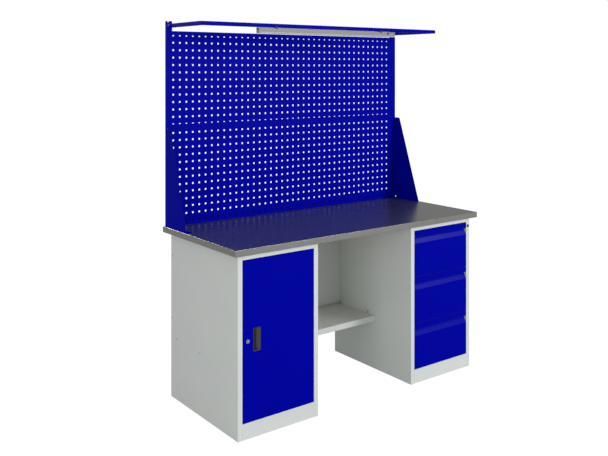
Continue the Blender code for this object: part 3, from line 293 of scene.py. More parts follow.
def coated(name, group, colour, roughness, specular, highlight_share, peel=500.0, depth=0.00003, lift=0.04):
    """Paint or moulded plastic. Folds and slants carry a face attribute and go slightly lighter, a painted
    highlight.
    """
    tree, shader, place = new_finish(name, 0.0, specular)
    folds = add_node(tree, 'ShaderNodeAttribute', (-900, -250), attribute_name="painted_highlight").outputs["Fac"]
    # lighter is the colour of the painted highlight on folds and slants.
    lighter = [min(1.0, value * 1.3 + lift) for value in colour[:3]] + [1.0]
    wear_group(tree, shader, group, depth, {
        "Vector": place, "Highlight share": reckon(tree, (-700, -250), 'MULTIPLY', folds, highlight_share), "Colour": colour,
        "Highlight colour": lighter, "Roughness": roughness, "Peel size": peel})


def metal(name, group, colour, roughness, lines, depth=0.00001, metallic=1.0):
    """Bare metal with fine lines."""
    tree, shader, place = new_finish(name, metallic, 0.5)
    wear_group(tree, shader, group, depth,
               {"Vector": place, "Colour": colour, "Roughness": roughness, "Lines": lines})


def chipboard(name, colour):
    """Pressed wood flakes."""
    tree, shader, place = new_finish(name, 0.0, 0.3)
    flakes = add_node(tree, 'ShaderNodeTexVoronoi', (-700, 0),
                      {"Vector": place, "Scale": 260.0}).outputs["Distance"]
    dark = [value * 0.55 for value in colour[:3]] + [1.0]
    tree.links.new(blend(tree, (-450, 0), flakes, colour, dark), shader.inputs["Base Color"])
    shader.inputs["Roughness"].default_value = 0.85
    emboss(tree, shader, 0.0002, flakes)


class WORKBENCH_OT_mix_finishes(bpy.types.Operator):
    """Mix the paints, metals, plastics and board for every slot of the record"""

    bl_idname = "workbench.mix_finishes"
    bl_label = "Mix Finishes"

    def execute(self, context):
        powder, brushed = coat_group(), brushed_group()
        colours = paint()
        # The fifth number is how strongly folds and slants take the painted highlight.
        coated("blue_paint", powder, colours.blue, 0.38, 0.010, 0.10)
        coated("grey_paint", powder, colours.grey, 0.48, 0.35, 0.30)
        coated("dark_plastic", powder, colours.plastic, 0.40, 0.22, 0.8, 900.0, 0.00004, 0.09)
        coated("lamp_grey", powder, colours.lamp, 0.40, 0.35, 0.3, 700.0)
        coated("diffuser", powder, colours.cover, 0.35, 0.45, 0.0, 900.0, 0.00001)
        coated("led_white", powder, colours.circuit, 0.50, 0.4, 0.0, 900.0, 0.00001)
        metal("steel_top", brushed, colours.steel, 0.28, (9.0, 500.0, 500.0), 0.000003, 0.86)
        metal("zinc", brushed, colours.zinc, 0.38, (300.0, 12.0, 300.0))
        metal("chrome", brushed, colours.chrome, 0.24, (900.0, 60.0, 900.0), 0.000002)
        chipboard("board", colours.board)
        return {'FINISHED'}


# Modelling by hand

def deselect_all():
    if bpy.context.mode != 'OBJECT':
        bpy.ops.object.mode_set(mode='OBJECT')
    bpy.ops.object.select_all(action='DESELECT')


def activate(piece):
    deselect_all()
    piece.select_set(True)
    bpy.context.view_layer.objects.active = piece


def begin(piece, mode='FACE'):
    """Open a piece for modelling with all of it selected."""
    activate(piece)
    bpy.ops.object.mode_set(mode='EDIT')
    bpy.ops.mesh.select_mode(type=mode)
    bpy.ops.mesh.select_all(action='SELECT')


def end():
    bpy.ops.object.mode_set(mode='OBJECT')


def pick(piece, mode, test):
    """Select the vertices, edges or faces that pass a test, and nothing else."""
    bpy.ops.mesh.select_mode(type=mode)
    bpy.ops.mesh.select_all(action='DESELECT')
    mesh = bmesh.from_edit_mesh(piece.data)
    elements = {'VERT': mesh.verts, 'EDGE': mesh.edges, 'FACE': mesh.faces}[mode]
    for element in elements:
        if test(element):
            element.select_set(True)
    mesh.select_flush_mode()
    bmesh.update_edit_mesh(piece.data)


def pull(offset):
    """Extrude what is selected."""
    bpy.ops.mesh.extrude_region_move(TRANSFORM_OT_translate={"value": offset})


def tighten(factors, centre):
    bpy.ops.transform.resize(value=factors, center_override=centre)


def round_corners(radius, segments):
    """Round the corners of an open plate and select the plate again."""
    bpy.ops.mesh.bevel(offset=radius, segments=segments, affect='VERTICES')
    bpy.ops.mesh.select_mode(type='FACE')
    bpy.ops.mesh.select_all(action='SELECT')


def face_outwards():
    bpy.ops.mesh.select_all(action='SELECT')
    bpy.ops.mesh.normals_make_consistent(inside=False)


def face_skin(piece, way):
    """Turn an open skin so that its outermost face that way also looks that way."""
    face_outwards()
    way = Vector(way)
    outermost = max(bmesh.from_edit_mesh(piece.data).faces,
                    key=lambda face: face.calc_center_median().dot(way))
    if outermost.normal.dot(way) < 0:
        bpy.ops.mesh.flip_normals()


def named(name):
    """The new primitive, named, with its place put into its mesh."""
    piece = bpy.context.active_object
    piece.name = name
    piece.data.name = name
    bpy.ops.object.transform_apply(location=True, rotation=True, scale=True)
    return piece


def plate(name, size, centre, facing=(QUARTER_TURN, 0.0, 0.0)):
    """A single rectangle, standing up and facing the front unless facing turns it."""
    deselect_all()
    bpy.ops.mesh.primitive_plane_add(size=1.0, location=centre, rotation=facing)
    bpy.context.active_object.scale = (*size, 1.0)
    return named(name)


def bar(name, low, high):
    deselect_all()
    low, high = Vector(low), Vector(high)
    bpy.ops.mesh.primitive_cube_add(size=1.0, location=(low + high) / 2)
    bpy.context.active_object.scale = high - low
    return named(name)


def apply_modifier(piece, kind, **settings):
    activate(piece)
    modifier = piece.modifiers.new(kind.title(), kind)
    for key, value in settings.items():
        setattr(modifier, key, value)
    bpy.ops.object.modifier_apply(modifier=modifier.name)


def thicken(piece, thickness):
    """Give a folded skin its wall, inwards from the outside."""
    apply_modifier(piece, 'SOLIDIFY', solidify_mode='NON_MANIFOLD',
                   nonmanifold_thickness_mode='CONSTRAINTS', thickness=thickness, offset=-1.0)


def line_inside(piece, thickness):
    """Give a smoothly curved skin its wall, inwards from the outside."""
    apply_modifier(piece, 'SOLIDIFY', thickness=thickness, offset=-1.0, use_even_offset=True)


def smooth(piece):
    activate(piece)
    bpy.ops.object.shade_smooth_by_angle(angle=SMOOTH_ANGLE)
    apply_modifier(piece, 'WEIGHTED_NORMAL', weight=100, keep_sharp=True)


def sheet_width(face):
    """The narrow side of a long face, which on a cut edge is the sheet's thickness."""
    around = sum(edge.calc_length() for edge in face.edges)
    return 2 * face.calc_area() / around if around else 0.0


def soften_edges(piece, fold, cut, thickest=SHEET_THICKEST, keep=None):
    """Round the outside of every fold, and take the sharpness off every cut edge."""
    mesh = bmesh.new()
    mesh.from_mesh(piece.data)
    weight = mesh.edges.layers.float.new("bevel_weight_edge")
    for edge in mesh.edges:
        if len(edge.link_faces) != 2 or edge.calc_face_angle_signed(0.0) < FOLD_ANGLE:
            continue
        if keep and keep(edge):
            continue
        is_cut = min(sheet_width(face) for face in edge.link_faces) < thickest
        edge[weight] = cut / fold if is_cut else 1.0
    mesh.to_mesh(piece.data)
    mesh.free()
    apply_modifier(piece, 'BEVEL', width=fold, segments=FOLD_SEGMENTS, limit_method='WEIGHT',
                   use_clamp_overlap=False)
    # Faces square to no axis, the rounded folds and the slants, are marked for a painted highlight.
    painted_highlight = piece.data.attributes.new("painted_highlight", 'FLOAT', 'FACE')
    for index, face in enumerate(piece.data.polygons):
        painted_highlight.data[index].value = float(max(abs(part) for part in face.normal) < SQUARE_ON)
    smooth(piece)


def coat(piece, slot):
    """Give a piece the finish of a slot, and no other."""
    piece.data.materials.clear()
    piece.data.materials.append(bpy.data.materials[f"{slot}_finish"])


def settle(piece, node, slot=None):
    """Give a finished piece its finish and the body it moves with."""
    slot = slot or SLOT_OF[node]
    coat(piece, slot)
    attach(piece, BODY_OF[node])


def stand_in(piece, node):
    """Settle a finished piece in the place of a node."""
    settle(piece, node)
    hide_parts(node)


def new_piece(name, mesh):
    """A piece made of its own copy of a mesh."""
    piece = bpy.data.objects.new(name, mesh.copy())
    piece.data.name = name
    bpy.context.collection.objects.link(piece)
    return piece


def folded_copy(node, name, fold, cut, thickest=SHEET_THICKEST):
    """The node's own shape, merged and with rounded folds, standing in for it."""
    piece = new_piece(name, frame["nodes"][node].data)
    begin(piece)
    bpy.ops.mesh.remove_doubles(threshold=MERGE)
    bpy.ops.mesh.dissolve_limited(angle_limit=FLAT_ANGLE)
    end()
    soften_edges(piece, fold, cut, thickest)
    stand_in(piece, node)


def turned(name, stations, centre, turn=Matrix.Identity(4), sides=40, bored=False):
    """A turned piece from (distance, radius) stations. Its axis points up until turn lays it down."""
    deselect_all()
    first, last = stations[0], stations[-1]
    bpy.ops.mesh.primitive_circle_add(vertices=sides, radius=first[1], location=(0, 0, first[0]),
                                      fill_type='NOTHING' if bored else 'NGON')
    piece = named(name)
    begin(piece, 'EDGE' if bored else 'FACE')
    for (here, radius), (there, next_radius) in zip(stations, stations[1:]):
        pull((0, 0, there - here))
        ratio = next_radius / radius
        tighten((ratio, ratio, 1.0), (0, 0, there))
    if bored:
        pick(piece, 'EDGE', lambda edge: any(
            all(abs(vert.co.z - distance) < SAME and abs(vert.co.xy.length - radius) < 10 * SAME
                for vert in edge.verts) for distance, radius in (first, last)))
        bpy.ops.mesh.bridge_edge_loops()
    bpy.ops.mesh.select_all(action='SELECT')
    bpy.ops.mesh.remove_doubles(threshold=SAME)
    face_outwards()
    end()
    piece.data.transform(Matrix.Translation(centre) @ turn)
    return piece


def dome(base, rise, radius, flat):
    """Stations of a dome from base up to rise, whose flat top is a share of its radius."""
    turns = [QUARTER_TURN * step / DOME_STEPS for step in range(1, DOME_STEPS + 1)]
    return [(base + (rise - base) * math.sin(turn), radius * (flat + (1 - flat) * math.cos(turn)))
            for turn in turns]


def cut_with(piece, tool):
    apply_modifier(piece, 'BOOLEAN', operation='DIFFERENCE', solver='EXACT', object=tool)
    bpy.data.objects.remove(tool)


def middle_in_front(low, high):
    """The middle of a box's front."""
    return Vector(((low.x + high.x) / 2, low.y, (low.z + high.z) / 2))


SHEET_FOLDS = {
    "worktop_cladding": "worktop_skin",
    "cabinet_left_wall": "cabinet_side_left",
    "cabinet_right_wall": "cabinet_side_right",
    "cabinet_back": "cabinet_rear_sheet",
    "cabinet_floor": "cabinet_base_sheet",
    "cabinet_shelf": "cabinet_inner_shelf",
    "cabinet_top_rail": "cabinet_head_rail",
    "cabinet_plinth": "cabinet_toe_plate",
    "cabinet_door": "cabinet_door_pan",
    "drawer_unit_left_wall": "drawer_side_left",
    "drawer_unit_right_wall": "drawer_side_right",
    "drawer_unit_back": "drawer_rear_sheet",
    "drawer_unit_top_rail": "drawer_head_rail",
    "drawer_unit_plinth": "drawer_toe_plate",
    "knee_back_panel": "knee_rear_sheet",
    "knee_shelf": "knee_shelf_tray",
    "post_left": "screen_post_left",
    "post_right": "screen_post_right",
    "gusset_left": "screen_gusset_left",
    "gusset_right": "screen_gusset_right",
}
for number in DRAWERS:
    SHEET_FOLDS[f"drawer_{number}_front"] = f"drawer_front_{number}"
    SHEET_FOLDS[f"drawer_{number}_box"] = f"drawer_tray_{number}"
    for _, word in SIDES:
        SHEET_FOLDS[f"drawer_{number}_{word}_rail"] = f"drawer_rail_{number}_{word}"
        SHEET_FOLDS[f"drawer_{number}_{word}_middle"] = f"drawer_runner_{number}_{word}"


class WORKBENCH_OT_fold_sheets(bpy.types.Operator):
    """Round the folds and cut edges of every plain sheet steel piece"""

    bl_idname = "workbench.fold_sheets"
    bl_label = "Fold Sheets"

    def execute(self, context):
        for node, name in SHEET_FOLDS.items():
            is_thin = node.startswith("drawer_") and node.endswith(("_box", "_rail", "_middle"))
            share = THIN_SHEET if is_thin else 1.0
            folded_copy(node, name, sizes().fold_radius * share, sizes().cut_radius * share)
        for number in DRAWERS:
            self.deepen_strip(number)
        return {'FINISHED'}

    def deepen_strip(self, number):
        """Move the fold between a drawer's top strip and its finger recess down a little."""
        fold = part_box(f"drawer_{number}_front")[1].z - sizes().strip
        near = 0.004
        piece = bpy.data.objects[f"drawer_front_{number}"]
        begin(piece, 'VERT')
        pick(piece, 'VERT', lambda vert: abs(vert.co.z - fold) < near)
        bpy.ops.transform.translate(value=(0.0, 0.0, -sizes().strip_drop))
        end()


class WORKBENCH_OT_punch_panels(bpy.types.Operator):
    """Punch the tool panels' full grid of square holes and fold their long edges back"""

    bl_idname = "workbench.punch_panels"
    bl_label = "Punch Tool Panels"

    SHEET = 0.0012
    CUT = 0.0003
    FIRST_ROW = 0.0217          # height of the lowest holes' middle in a panel
    LIP = 0.020                 # height of the inner lip of a folded edge
    LIP_RAISE = 0.0025          # how much higher the lower panel's lip stands
    NEAR = 0.005                # what lies nearer to an edge, the face or the lip belongs to it
    SIDE_MARGIN = 0.010         # no hole comes nearer to a panel's ends than this

    def execute(self, context):
        low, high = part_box("perforated_panel_lower")
        piece = self.punched_face("tool_panel_lower", low, high)
        self.fold_back(piece, low, high)
        thicken(piece, self.SHEET)

        def beside_a_hole(edge):
            middle = (edge.verts[0].co + edge.verts[1].co) / 2
            return (low.x + self.SIDE_MARGIN < middle.x < high.x - self.SIDE_MARGIN
                    and low.z + self.NEAR < middle.z < high.z - self.NEAR
                    and middle.y < low.y + self.NEAR)
        soften_edges(piece, self.SHEET, self.CUT, keep=beside_a_hole)
        twin = new_piece("tool_panel_upper", piece.data)
        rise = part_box("perforated_panel_upper")[0].z - low.z
        twin.data.transform(Matrix.Translation((0.0, 0.0, rise)))
        begin(piece)
        pick(piece, 'VERT', lambda vert: vert.co.y > high.y - 0.003
             and abs(vert.co.z - low.z - self.LIP) < self.NEAR)
        bpy.ops.transform.translate(value=(0.0, 0.0, self.LIP_RAISE))
        end()
        stand_in(piece, "perforated_panel_lower")
        stand_in(twin, "perforated_panel_upper")
        return {'FINISHED'}

    def punched_face(self, name, low, high):
        """One tile with a hole, repeated across and up, with plain margins pulled out round it."""
        pitch, columns, rows = sizes().pitch, sizes().columns, sizes().rows
        centre = Vector(((low.x + high.x) / 2 - pitch * (columns - 1) / 2, low.y, low.z + self.FIRST_ROW))
        piece = plate(name, (pitch, pitch), centre)
        begin(piece)
        bpy.ops.mesh.inset(thickness=(pitch - sizes().hole) / 2)
        bpy.ops.mesh.select_mode(type='VERT')
        bpy.ops.mesh.bevel(offset=sizes().hole_corner, segments=2, affect='VERTICES')
        pick(piece, 'FACE', lambda face: (face.calc_center_median() - centre).length < MERGE)
        bpy.ops.mesh.delete(type='FACE')
        end()
        for count, step in ((columns, (pitch, 0.0, 0.0)), (rows, (0.0, 0.0, pitch))):
            apply_modifier(piece, 'ARRAY', count=count, use_relative_offset=False,
                           use_constant_offset=True, constant_offset_displace=step,
                           use_merge_vertices=True, merge_threshold=MERGE)
        begin(piece)
        for axis, count in ((0, columns), (2, rows)):
            near_end = centre[axis] - pitch / 2
            for place, goal in ((near_end, low[axis]), (near_end + pitch * count, high[axis])):
                pick(piece, 'EDGE', lambda edge: all(abs(v.co[axis] - place) < TOUCH for v in edge.verts))
                offset = [0.0, 0.0, 0.0]
                offset[axis] = goal - place
                pull(offset)
        end()
        return piece

    def fold_back(self, piece, low, high):
        """Fold the top and bottom edges back between the posts, then in."""
        posts_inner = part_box("post_right")[0].x - GAP
        begin(piece)
        for side in (LEFT, RIGHT):
            for edge_z in (low.z, high.z):
                pick(piece, 'FACE', lambda face: any(abs(v.co.z - edge_z) < TOUCH for v in face.verts))
                bpy.ops.mesh.bisect(plane_co=(side * posts_inner, low.y, low.z), plane_no=(1.0, 0.0, 0.0))
        for edge_z, inward in ((low.z, self.LIP), (high.z, -self.LIP)):
            pick(piece, 'EDGE', lambda edge: all(
                abs(v.co.z - edge_z) < TOUCH and abs(v.co.x) < posts_inner + TOUCH for v in edge.verts))
            pull((0.0, high.y - low.y, 0.0))
            pull((0.0, 0.0, inward))
        face_skin(piece, FRONT)
        end()


class WORKBENCH_OT_mitre_tube(bpy.types.Operator):
    """Cut the overhead frame's square tube to mitres, join it and bolt it to the posts"""

    bl_idname = "workbench.mitre_tube"
    bl_label = "Mitre Overhead Tube"

    def execute(self, context):
        low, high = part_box("overhead_frame")
        tube = high.z - low.z
        corner_x = high.x - tube / 2
        line = Vector((0.0, low.y + tube / 2, (low.z + high.z) / 2))
        past = high.x + tube
        piece = self.length("overhead_tube", tube, line - Vector((past, 0, 0)), (2 * past, 0.0, 0.0),
                            (QUARTER_TURN, 0.0, QUARTER_TURN))
        arms = []
        for side, word in SIDES:
            corner = line + Vector((side * corner_x, 0, 0))
            rear = Vector((corner.x, high.y, corner.z))
            arm = self.length(f"overhead_arm_{word}", tube, rear, (0.0, corner.y - tube - high.y, 0.0))
            for part, is_arm in ((piece, False), (arm, True)):
                begin(part)
                bpy.ops.mesh.bisect(plane_co=corner, plane_no=(-side, -1.0, 0.0),
                                    clear_outer=is_arm, clear_inner=not is_arm)
                end()
            arms.append(arm)
        activate(piece)
        for arm in arms:
            arm.select_set(True)
        bpy.ops.object.join()
        begin(piece)
        bpy.ops.mesh.remove_doubles(threshold=MERGE)
        face_outwards()
        pick(piece, 'FACE', lambda face: all(abs(v.co.y - high.y) < TOUCH for v in face.verts))
        bpy.ops.mesh.delete(type='FACE')
        end()
        line_inside(piece, sizes().tube_wall)
        smooth(piece)
        stand_in(piece, "overhead_frame")
        for side, word in SIDES:
            self.domed_bolt(side, word)
        return {'FINISHED'}

    def length(self, name, tube, start, run, facing=(QUARTER_TURN, 0.0, 0.0)):
        """A straight length of the tube with soft long edges."""
        piece = plate(name, (tube, tube), start, facing)
        begin(piece, 'VERT')
        round_corners(sizes().tube_corner, 6)
        pull(run)
        face_outwards()
        end()
        return piece

    def domed_bolt(self, side, word):
        """A bolt whose head lies on the tube's outside and whose shank reaches in."""
        node = f"frame_bolt_{word}"
        low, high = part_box(node)
        inner, outer = (low.x, high.x)[::side]
        head, shank = (high.z - low.z) / 2, 0.003
        seat = side * (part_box("overhead_frame")[1].x + GAP)
        rise = abs(outer - seat)
        edge = rise * 0.35
        stations = [(-abs(seat - inner), shank), (0.0, shank), (0.0, head), (edge, head)]
        stations += dome(edge, rise, head, 0.30)
        piece = turned(f"frame_screw_{word}", stations,
                       (seat, (low.y + high.y) / 2, (low.z + high.z) / 2), TURN_TO_SIDE[side])
        smooth(piece)
        stand_in(piece, node)


class WORKBENCH_OT_mould_pull(bpy.types.Operator):
    """Mould the door's recessed pull: a rim, a cup and a slanted wall for the fingers"""

    bl_idname = "workbench.mould_pull"
    bl_label = "Mould Door Pull"

    WALL = 0.0010
    CORNER = 0.0060
    SURROUND = 0.0052           # from the pull's outside to its cup
    LEDGE = 0.0016              # depth of the step inside the rim
    STRAIGHT = 0.0010           # depth of the cup before its wall slants
    SLANT = 0.0115              # how far the slanted wall runs in
    TAPER = 0.975               # height of the cup's floor against its mouth
    SKIRT = 0.0015

    def execute(self, context):
        low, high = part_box("cabinet_door_handle")
        middle = middle_in_front(low, high)
        width = high.x - low.x
        piece = plate("door_pull", (width, high.z - low.z), middle)
        begin(piece, 'VERT')
        round_corners(self.CORNER, 5)
        bpy.ops.mesh.inset(thickness=sizes().pull_rim)
        bpy.ops.mesh.inset(thickness=self.SURROUND - sizes().pull_rim, depth=-self.LEDGE)
        pull((0.0, self.STRAIGHT, 0.0))
        slope = high.y - low.y - self.LEDGE - self.STRAIGHT - self.WALL
        pull((0.0, slope, 0.0))
        cup_width = width - 2 * self.SURROUND
        tighten(((cup_width - self.SLANT) / cup_width, 1.0, self.TAPER),
                (low.x + self.SURROUND, low.y + self.LEDGE + self.STRAIGHT + slope, middle.z))
        pick(piece, 'EDGE', lambda edge: edge.is_boundary)
        pull((0.0, self.SKIRT, 0.0))
        face_skin(piece, FRONT)
        end()
        thicken(piece, self.WALL)
        soften_edges(piece, 0.0005, 0.0003, thickest=0.0012)
        stand_in(piece, "cabinet_door_handle")
        return {'FINISHED'}


class WORKBENCH_OT_turn_locks(bpy.types.Operator):
    """Turn the two locks: ring, cores with a keyway, the cam behind the door and the locking bar"""

    bl_idname = "workbench.turn_locks"
    bl_label = "Turn Locks"

    RING_BORE = 0.0065
    RING_NECK = 0.008
    DOOR_CORE = 0.0060
    DRAWER_CORE = 0.0068
    FLANGE = 0.0079
    FLANGE_SOLID = 0.00785      # the flange's radius in the solid, which gives the core's axis
    FLANGE_DEPTH = 0.002
    PIN = 0.0019
    PIN_LENGTH = 0.005
    PIN_OFFSET = 0.003536       # how far the eccentric pin lies across from the axis, and down
    BAR_EDGE = 0.0004

    def execute(self, context):
        self.door_ring()
        self.door_core()
        self.drawer_core()
        for node, name in (("cabinet_lock_cam", "door_lock_cam"), ("drawer_lock_bar", "drawer_lock_strip")):
            folded_copy(node, name, self.BAR_EDGE, self.BAR_EDGE, 0.004)
        return {'FINISHED'}

    def door_ring(self):
        low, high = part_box("cabinet_lock_housing")
        radius, depth = (high.x - low.x) / 2, high.y - low.y
        stations = [(depth, self.RING_BORE), (depth, self.RING_NECK), (0.002, self.RING_NECK),
                    (0.002, radius - 0.0003), (0.0017, radius), (0.0009, radius),
                    (0.0003, radius - 0.0007), (0.0, radius - 0.0014), (0.0, 0.0073),
                    (0.0004, 0.0069), (0.0008, self.RING_BORE)]
        piece = turned("door_lock_ring", stations, middle_in_front(low, high), TURN_TO_REAR, bored=True)
        smooth(piece)
        stand_in(piece, "cabinet_lock_housing")

    def door_core(self):
        low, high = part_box("cabinet_lock_core")
        self.core("cabinet_lock_core", "door_lock_core", middle_in_front(low, high),
                  [(high.y - low.y, self.DOOR_CORE), (0.0006, self.DOOR_CORE),
                   (0.0, self.DOOR_CORE - 0.0005)])

    def drawer_core(self):
        """The drawers' core has a flange in front and an eccentric pin behind."""
        low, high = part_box("drawer_lock_core")
        face = Vector((low.x + self.FLANGE_SOLID, low.y, high.z - self.FLANGE_SOLID))
        rear = high.y - low.y - 0.0035
        self.core("drawer_lock_core", "drawer_lock_barrel", face,
                  [(rear, self.DRAWER_CORE - 0.0005), (rear - 0.0005, self.DRAWER_CORE),
                   (self.FLANGE_DEPTH, self.DRAWER_CORE), (self.FLANGE_DEPTH, self.FLANGE),
                   (0.0007, self.FLANGE), (0.0, self.FLANGE - 0.0009)])
        pin = turned("drawer_lock_pin",
                     [(-self.PIN_LENGTH, self.PIN), (-0.0003, self.PIN), (0.0, self.PIN - 0.0003)],
                     (face.x + self.PIN_OFFSET, high.y, face.z - self.PIN_OFFSET), TURN_TO_REAR, sides=20)
        smooth(pin)
        settle(pin, "drawer_lock_core")

    def core(self, node, name, face, stations):
        """A turned core with a keyway in its face."""
        piece = turned(name, stations, face, TURN_TO_REAR)
        keyway = bar(f"{name}_slot", face + Vector((-0.0007, -0.002, -0.0033)),
                     face + Vector((0.0007, 0.004, 0.0033)))
        cut_with(piece, keyway)
        smooth(piece)
        stand_in(piece, node)


class WORKBENCH_OT_build_lamp(bpy.types.Operator):
    """Build the lamp: grooved housing, end caps, milky cover, clips and push switch"""

    bl_idname = "workbench.build_lamp"
    bl_label = "Build Lamp"

    CAP = 0.004                 # how much shorter than the lamp the housing is at each end
    CAP_WIDTH = CAP * 1.4
    CAP_EDGE = 0.0012
    CAP_PROUD = 0.0002
    COVER_END = 0.0056
    GROOVE = (0.0050, 0.0060)   # heights of a groove's sides above the housing's lower edge
    GROOVE_DEPTH = 0.0006
    SMALL_EDGE = 0.0003

    def execute(self, context):
        self.housing()
        self.end_caps()
        self.cover()
        for _, word in SIDES:
            folded_copy(f"lamp_clip_{word}", f"lamp_bracket_{word}", self.SMALL_EDGE, self.SMALL_EDGE,
                        0.0016)
        self.switch()
        return {'FINISHED'}

    def round_long_edges(self, piece, level, radius, segments):
        """Round the edges that run along the lamp at one height."""
        pick(piece, 'EDGE', lambda edge: all(abs(v.co.z - level) < TOUCH for v in edge.verts)
             and abs(edge.verts[0].co.y - edge.verts[1].co.y) < TOUCH)
        bpy.ops.mesh.bevel(offset=radius, segments=segments, affect='EDGES')

    def housing(self):
        low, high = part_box("lamp_body")
        piece = bar("lamp_housing", (low.x + self.CAP, low.y, low.z), (high.x - self.CAP, high.y, high.z))
        begin(piece)
        pick(piece, 'FACE', lambda face: face.normal.z < -0.9 or abs(face.normal.x) > 0.9)
        bpy.ops.mesh.delete(type='FACE')
        self.round_long_edges(piece, high.z, 0.0025, 4)
        for height in self.GROOVE:
            bpy.ops.mesh.select_all(action='SELECT')
            bpy.ops.mesh.bisect(plane_co=(0.0, 0.0, low.z + height), plane_no=UP)
        face_skin(piece, UP)
        groove = low.z + sum(self.GROOVE) / 2
        pick(piece, 'FACE', lambda face: abs(face.calc_center_median().z - groove) < TOUCH)
        pull((0.0, 0.0, 0.0))
        tighten((1.0, 1.0 - 2 * self.GROOVE_DEPTH / (high.y - low.y), 1.0), (low + high) / 2)
        end()
        thicken(piece, 0.001)
        smooth(piece)
        switch_low, switch_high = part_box("lamp_switch")
        opening = (switch_high.x - switch_low.x) / 2 - 0.0007
        hole = turned("lamp_switch_hole", [(-0.003, opening), (0.003, opening)], self.switch_centre(),
                      TURN_TO_REAR)
        cut_with(piece, hole)
        smooth(piece)
        stand_in(piece, "lamp_body")

    def end_caps(self):
        """A cap with a dark socket on each end of the lamp."""
        low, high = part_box("lamp_body")
        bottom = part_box("lamp_diffuser")[0].z
        for side, word in SIDES:
            outer = high.x if side == RIGHT else low.x
            left, right = sorted((outer, outer - side * self.CAP_WIDTH))
            cap = bar(f"lamp_end_cap_{word}", (left, low.y - self.CAP_PROUD, bottom),
                      (right, high.y + self.CAP_PROUD, high.z + self.CAP_PROUD / 2))
            soften_edges(cap, self.CAP_EDGE, self.CAP_EDGE)
            settle(cap, "lamp_body", slot="lamp_grey")
            left, right = sorted((outer + side * 0.0004, outer - side * 0.002))
            socket = bar(f"lamp_socket_{word}", (left, low.y + 0.004, high.z - 0.012),
                         (right, high.y - 0.004, high.z - 0.002))
            soften_edges(socket, self.SMALL_EDGE, self.SMALL_EDGE)
            settle(socket, "lamp_body", slot="dark_plastic")

    def cover(self):
        low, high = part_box("lamp_diffuser")
        piece = bar("lamp_cover", (low.x + self.COVER_END, low.y, low.z),
                    (high.x - self.COVER_END, high.y, high.z))
        begin(piece)
        pick(piece, 'FACE', lambda face: face.normal.z > 0.9)
        bpy.ops.mesh.delete(type='FACE')
        self.round_long_edges(piece, low.z, 0.004, 6)
        end()
        thicken(piece, 0.0012)
        smooth(piece)
        stand_in(piece, "lamp_diffuser")

    def switch_centre(self):
        """Where the switch's axis meets the front of the housing."""
        centre = middle_in_front(*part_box("lamp_switch"))
        centre.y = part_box("lamp_body")[0].y
        return centre

    def switch(self):
        low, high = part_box("lamp_switch")
        centre = self.switch_centre()
        proud = centre.y - low.y
        base = (high.x - low.x) / 2
        head = base - 0.001
        stations = [(high.y - centre.y, base), (0.0013, base), (0.0013, head), (-proud * 0.7, head),
                    (-proud * 0.93, head - 0.0004), (-proud, head - 0.0011), (-proud, head - 0.0022),
                    (-proud * 0.8, head - 0.0030)]
        piece = turned("lamp_push_switch", stations, centre, TURN_TO_REAR)
        smooth(piece)
        stand_in(piece, "lamp_switch")


class WORKBENCH_OT_fit_bolts(bpy.types.Operator):
    """Fit the small bolts and rivets that hold the sheets together"""

    bl_idname = "workbench.fit_bolts"
    bl_label = "Fit Bolts"

    WASHER = 0.0011             # thickness of a bolt's washer face
    GUSSET_FOOT = 0.197

    def execute(self, context):
        self.knee_shelf_bolts()
        self.gusset_screws()
        self.panel_rivets()
        self.drawer_screws()
        return {'FINISHED'}

    def hex_bolt(self, name, centre, turn):
        """A flanged hexagon head with its washer face on centre."""
        radius = sizes().bolt_head
        bolt = turned(name, [(0.0, radius * 1.35), (0.0008, radius * 1.35), (self.WASHER, radius * 1.25),
                             (self.WASHER, radius * 0.9)], centre, turn, 32)
        seat = Matrix.Translation(centre) @ turn @ Matrix.Translation((0, 0, self.WASHER))
        head = turned(f"{name}_head", [(0.0, radius), (0.0035, radius), (0.0042, radius * 0.86)],
                      (0, 0, 0), seat, 6)
        soften_edges(head, 0.0003, 0.0003)
        smooth(bolt)
        activate(bolt)
        head.select_set(True)
        bpy.ops.object.join()
        return bolt

    def round_head(self, name, centre, turn, radius, rise, node, slot):
        piece = turned(name, [(0.0, radius)] + dome(0.0, rise, radius, 0.35), centre, turn, 24)
        smooth(piece)
        settle(piece, node, slot=slot)

    def knee_shelf_bolts(self):
        low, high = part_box("knee_shelf")
        height = low.z + 0.039
        for side, word in SIDES:
            inner = side * (high.x - 0.0015)
            for index, y in enumerate((low.y + 0.062, high.y - 0.0082)):
                bolt = self.hex_bolt(f"knee_bolt_{word}_{index}", Vector((inner, y, height)),
                                     TURN_TO_SIDE[-side])
                settle(bolt, "knee_shelf", slot="zinc")

    def gusset_screws(self):
        for side, word in SIDES:
            low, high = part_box(f"gusset_{word}")
            x = (low.x + high.x) / 2 - side * 0.002
            for index, share in enumerate((0.14, 0.68)):
                centre = Vector((x, low.y + self.GUSSET_FOOT * share, low.z + 0.002))
                self.round_head(f"gusset_screw_{word}_{index}", centre, Matrix.Identity(4), 0.0048, 0.0026,
                                f"gusset_{word}", "blue_paint")

    def panel_rivets(self):
        for level in ("lower", "upper"):
            low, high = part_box(f"perforated_panel_{level}")
            for side, word in SIDES:
                for index, z in enumerate((low.z + 0.0407, high.z - 0.041)):
                    self.round_head(f"panel_rivet_{level}_{word}_{index}",
                                    Vector((side * (high.x - 0.0085), low.y, z)), TURN_TO_FRONT,
                                    0.0038, 0.0014, f"perforated_panel_{level}", "blue_paint")

    def drawer_screws(self):
        for number in DRAWERS:
            low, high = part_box(f"drawer_{number}_box")
            for index, aside in enumerate((-0.133, 0.0, 0.133)):
                centre = Vector(((low.x + high.x) / 2 + aside, low.y + 0.001, low.z + 0.030))
                self.round_head(f"drawer_screw_{number}_{index}", centre, TURN_TO_REAR, 0.0045, 0.0024,
                                f"drawer_{number}_box", "zinc")


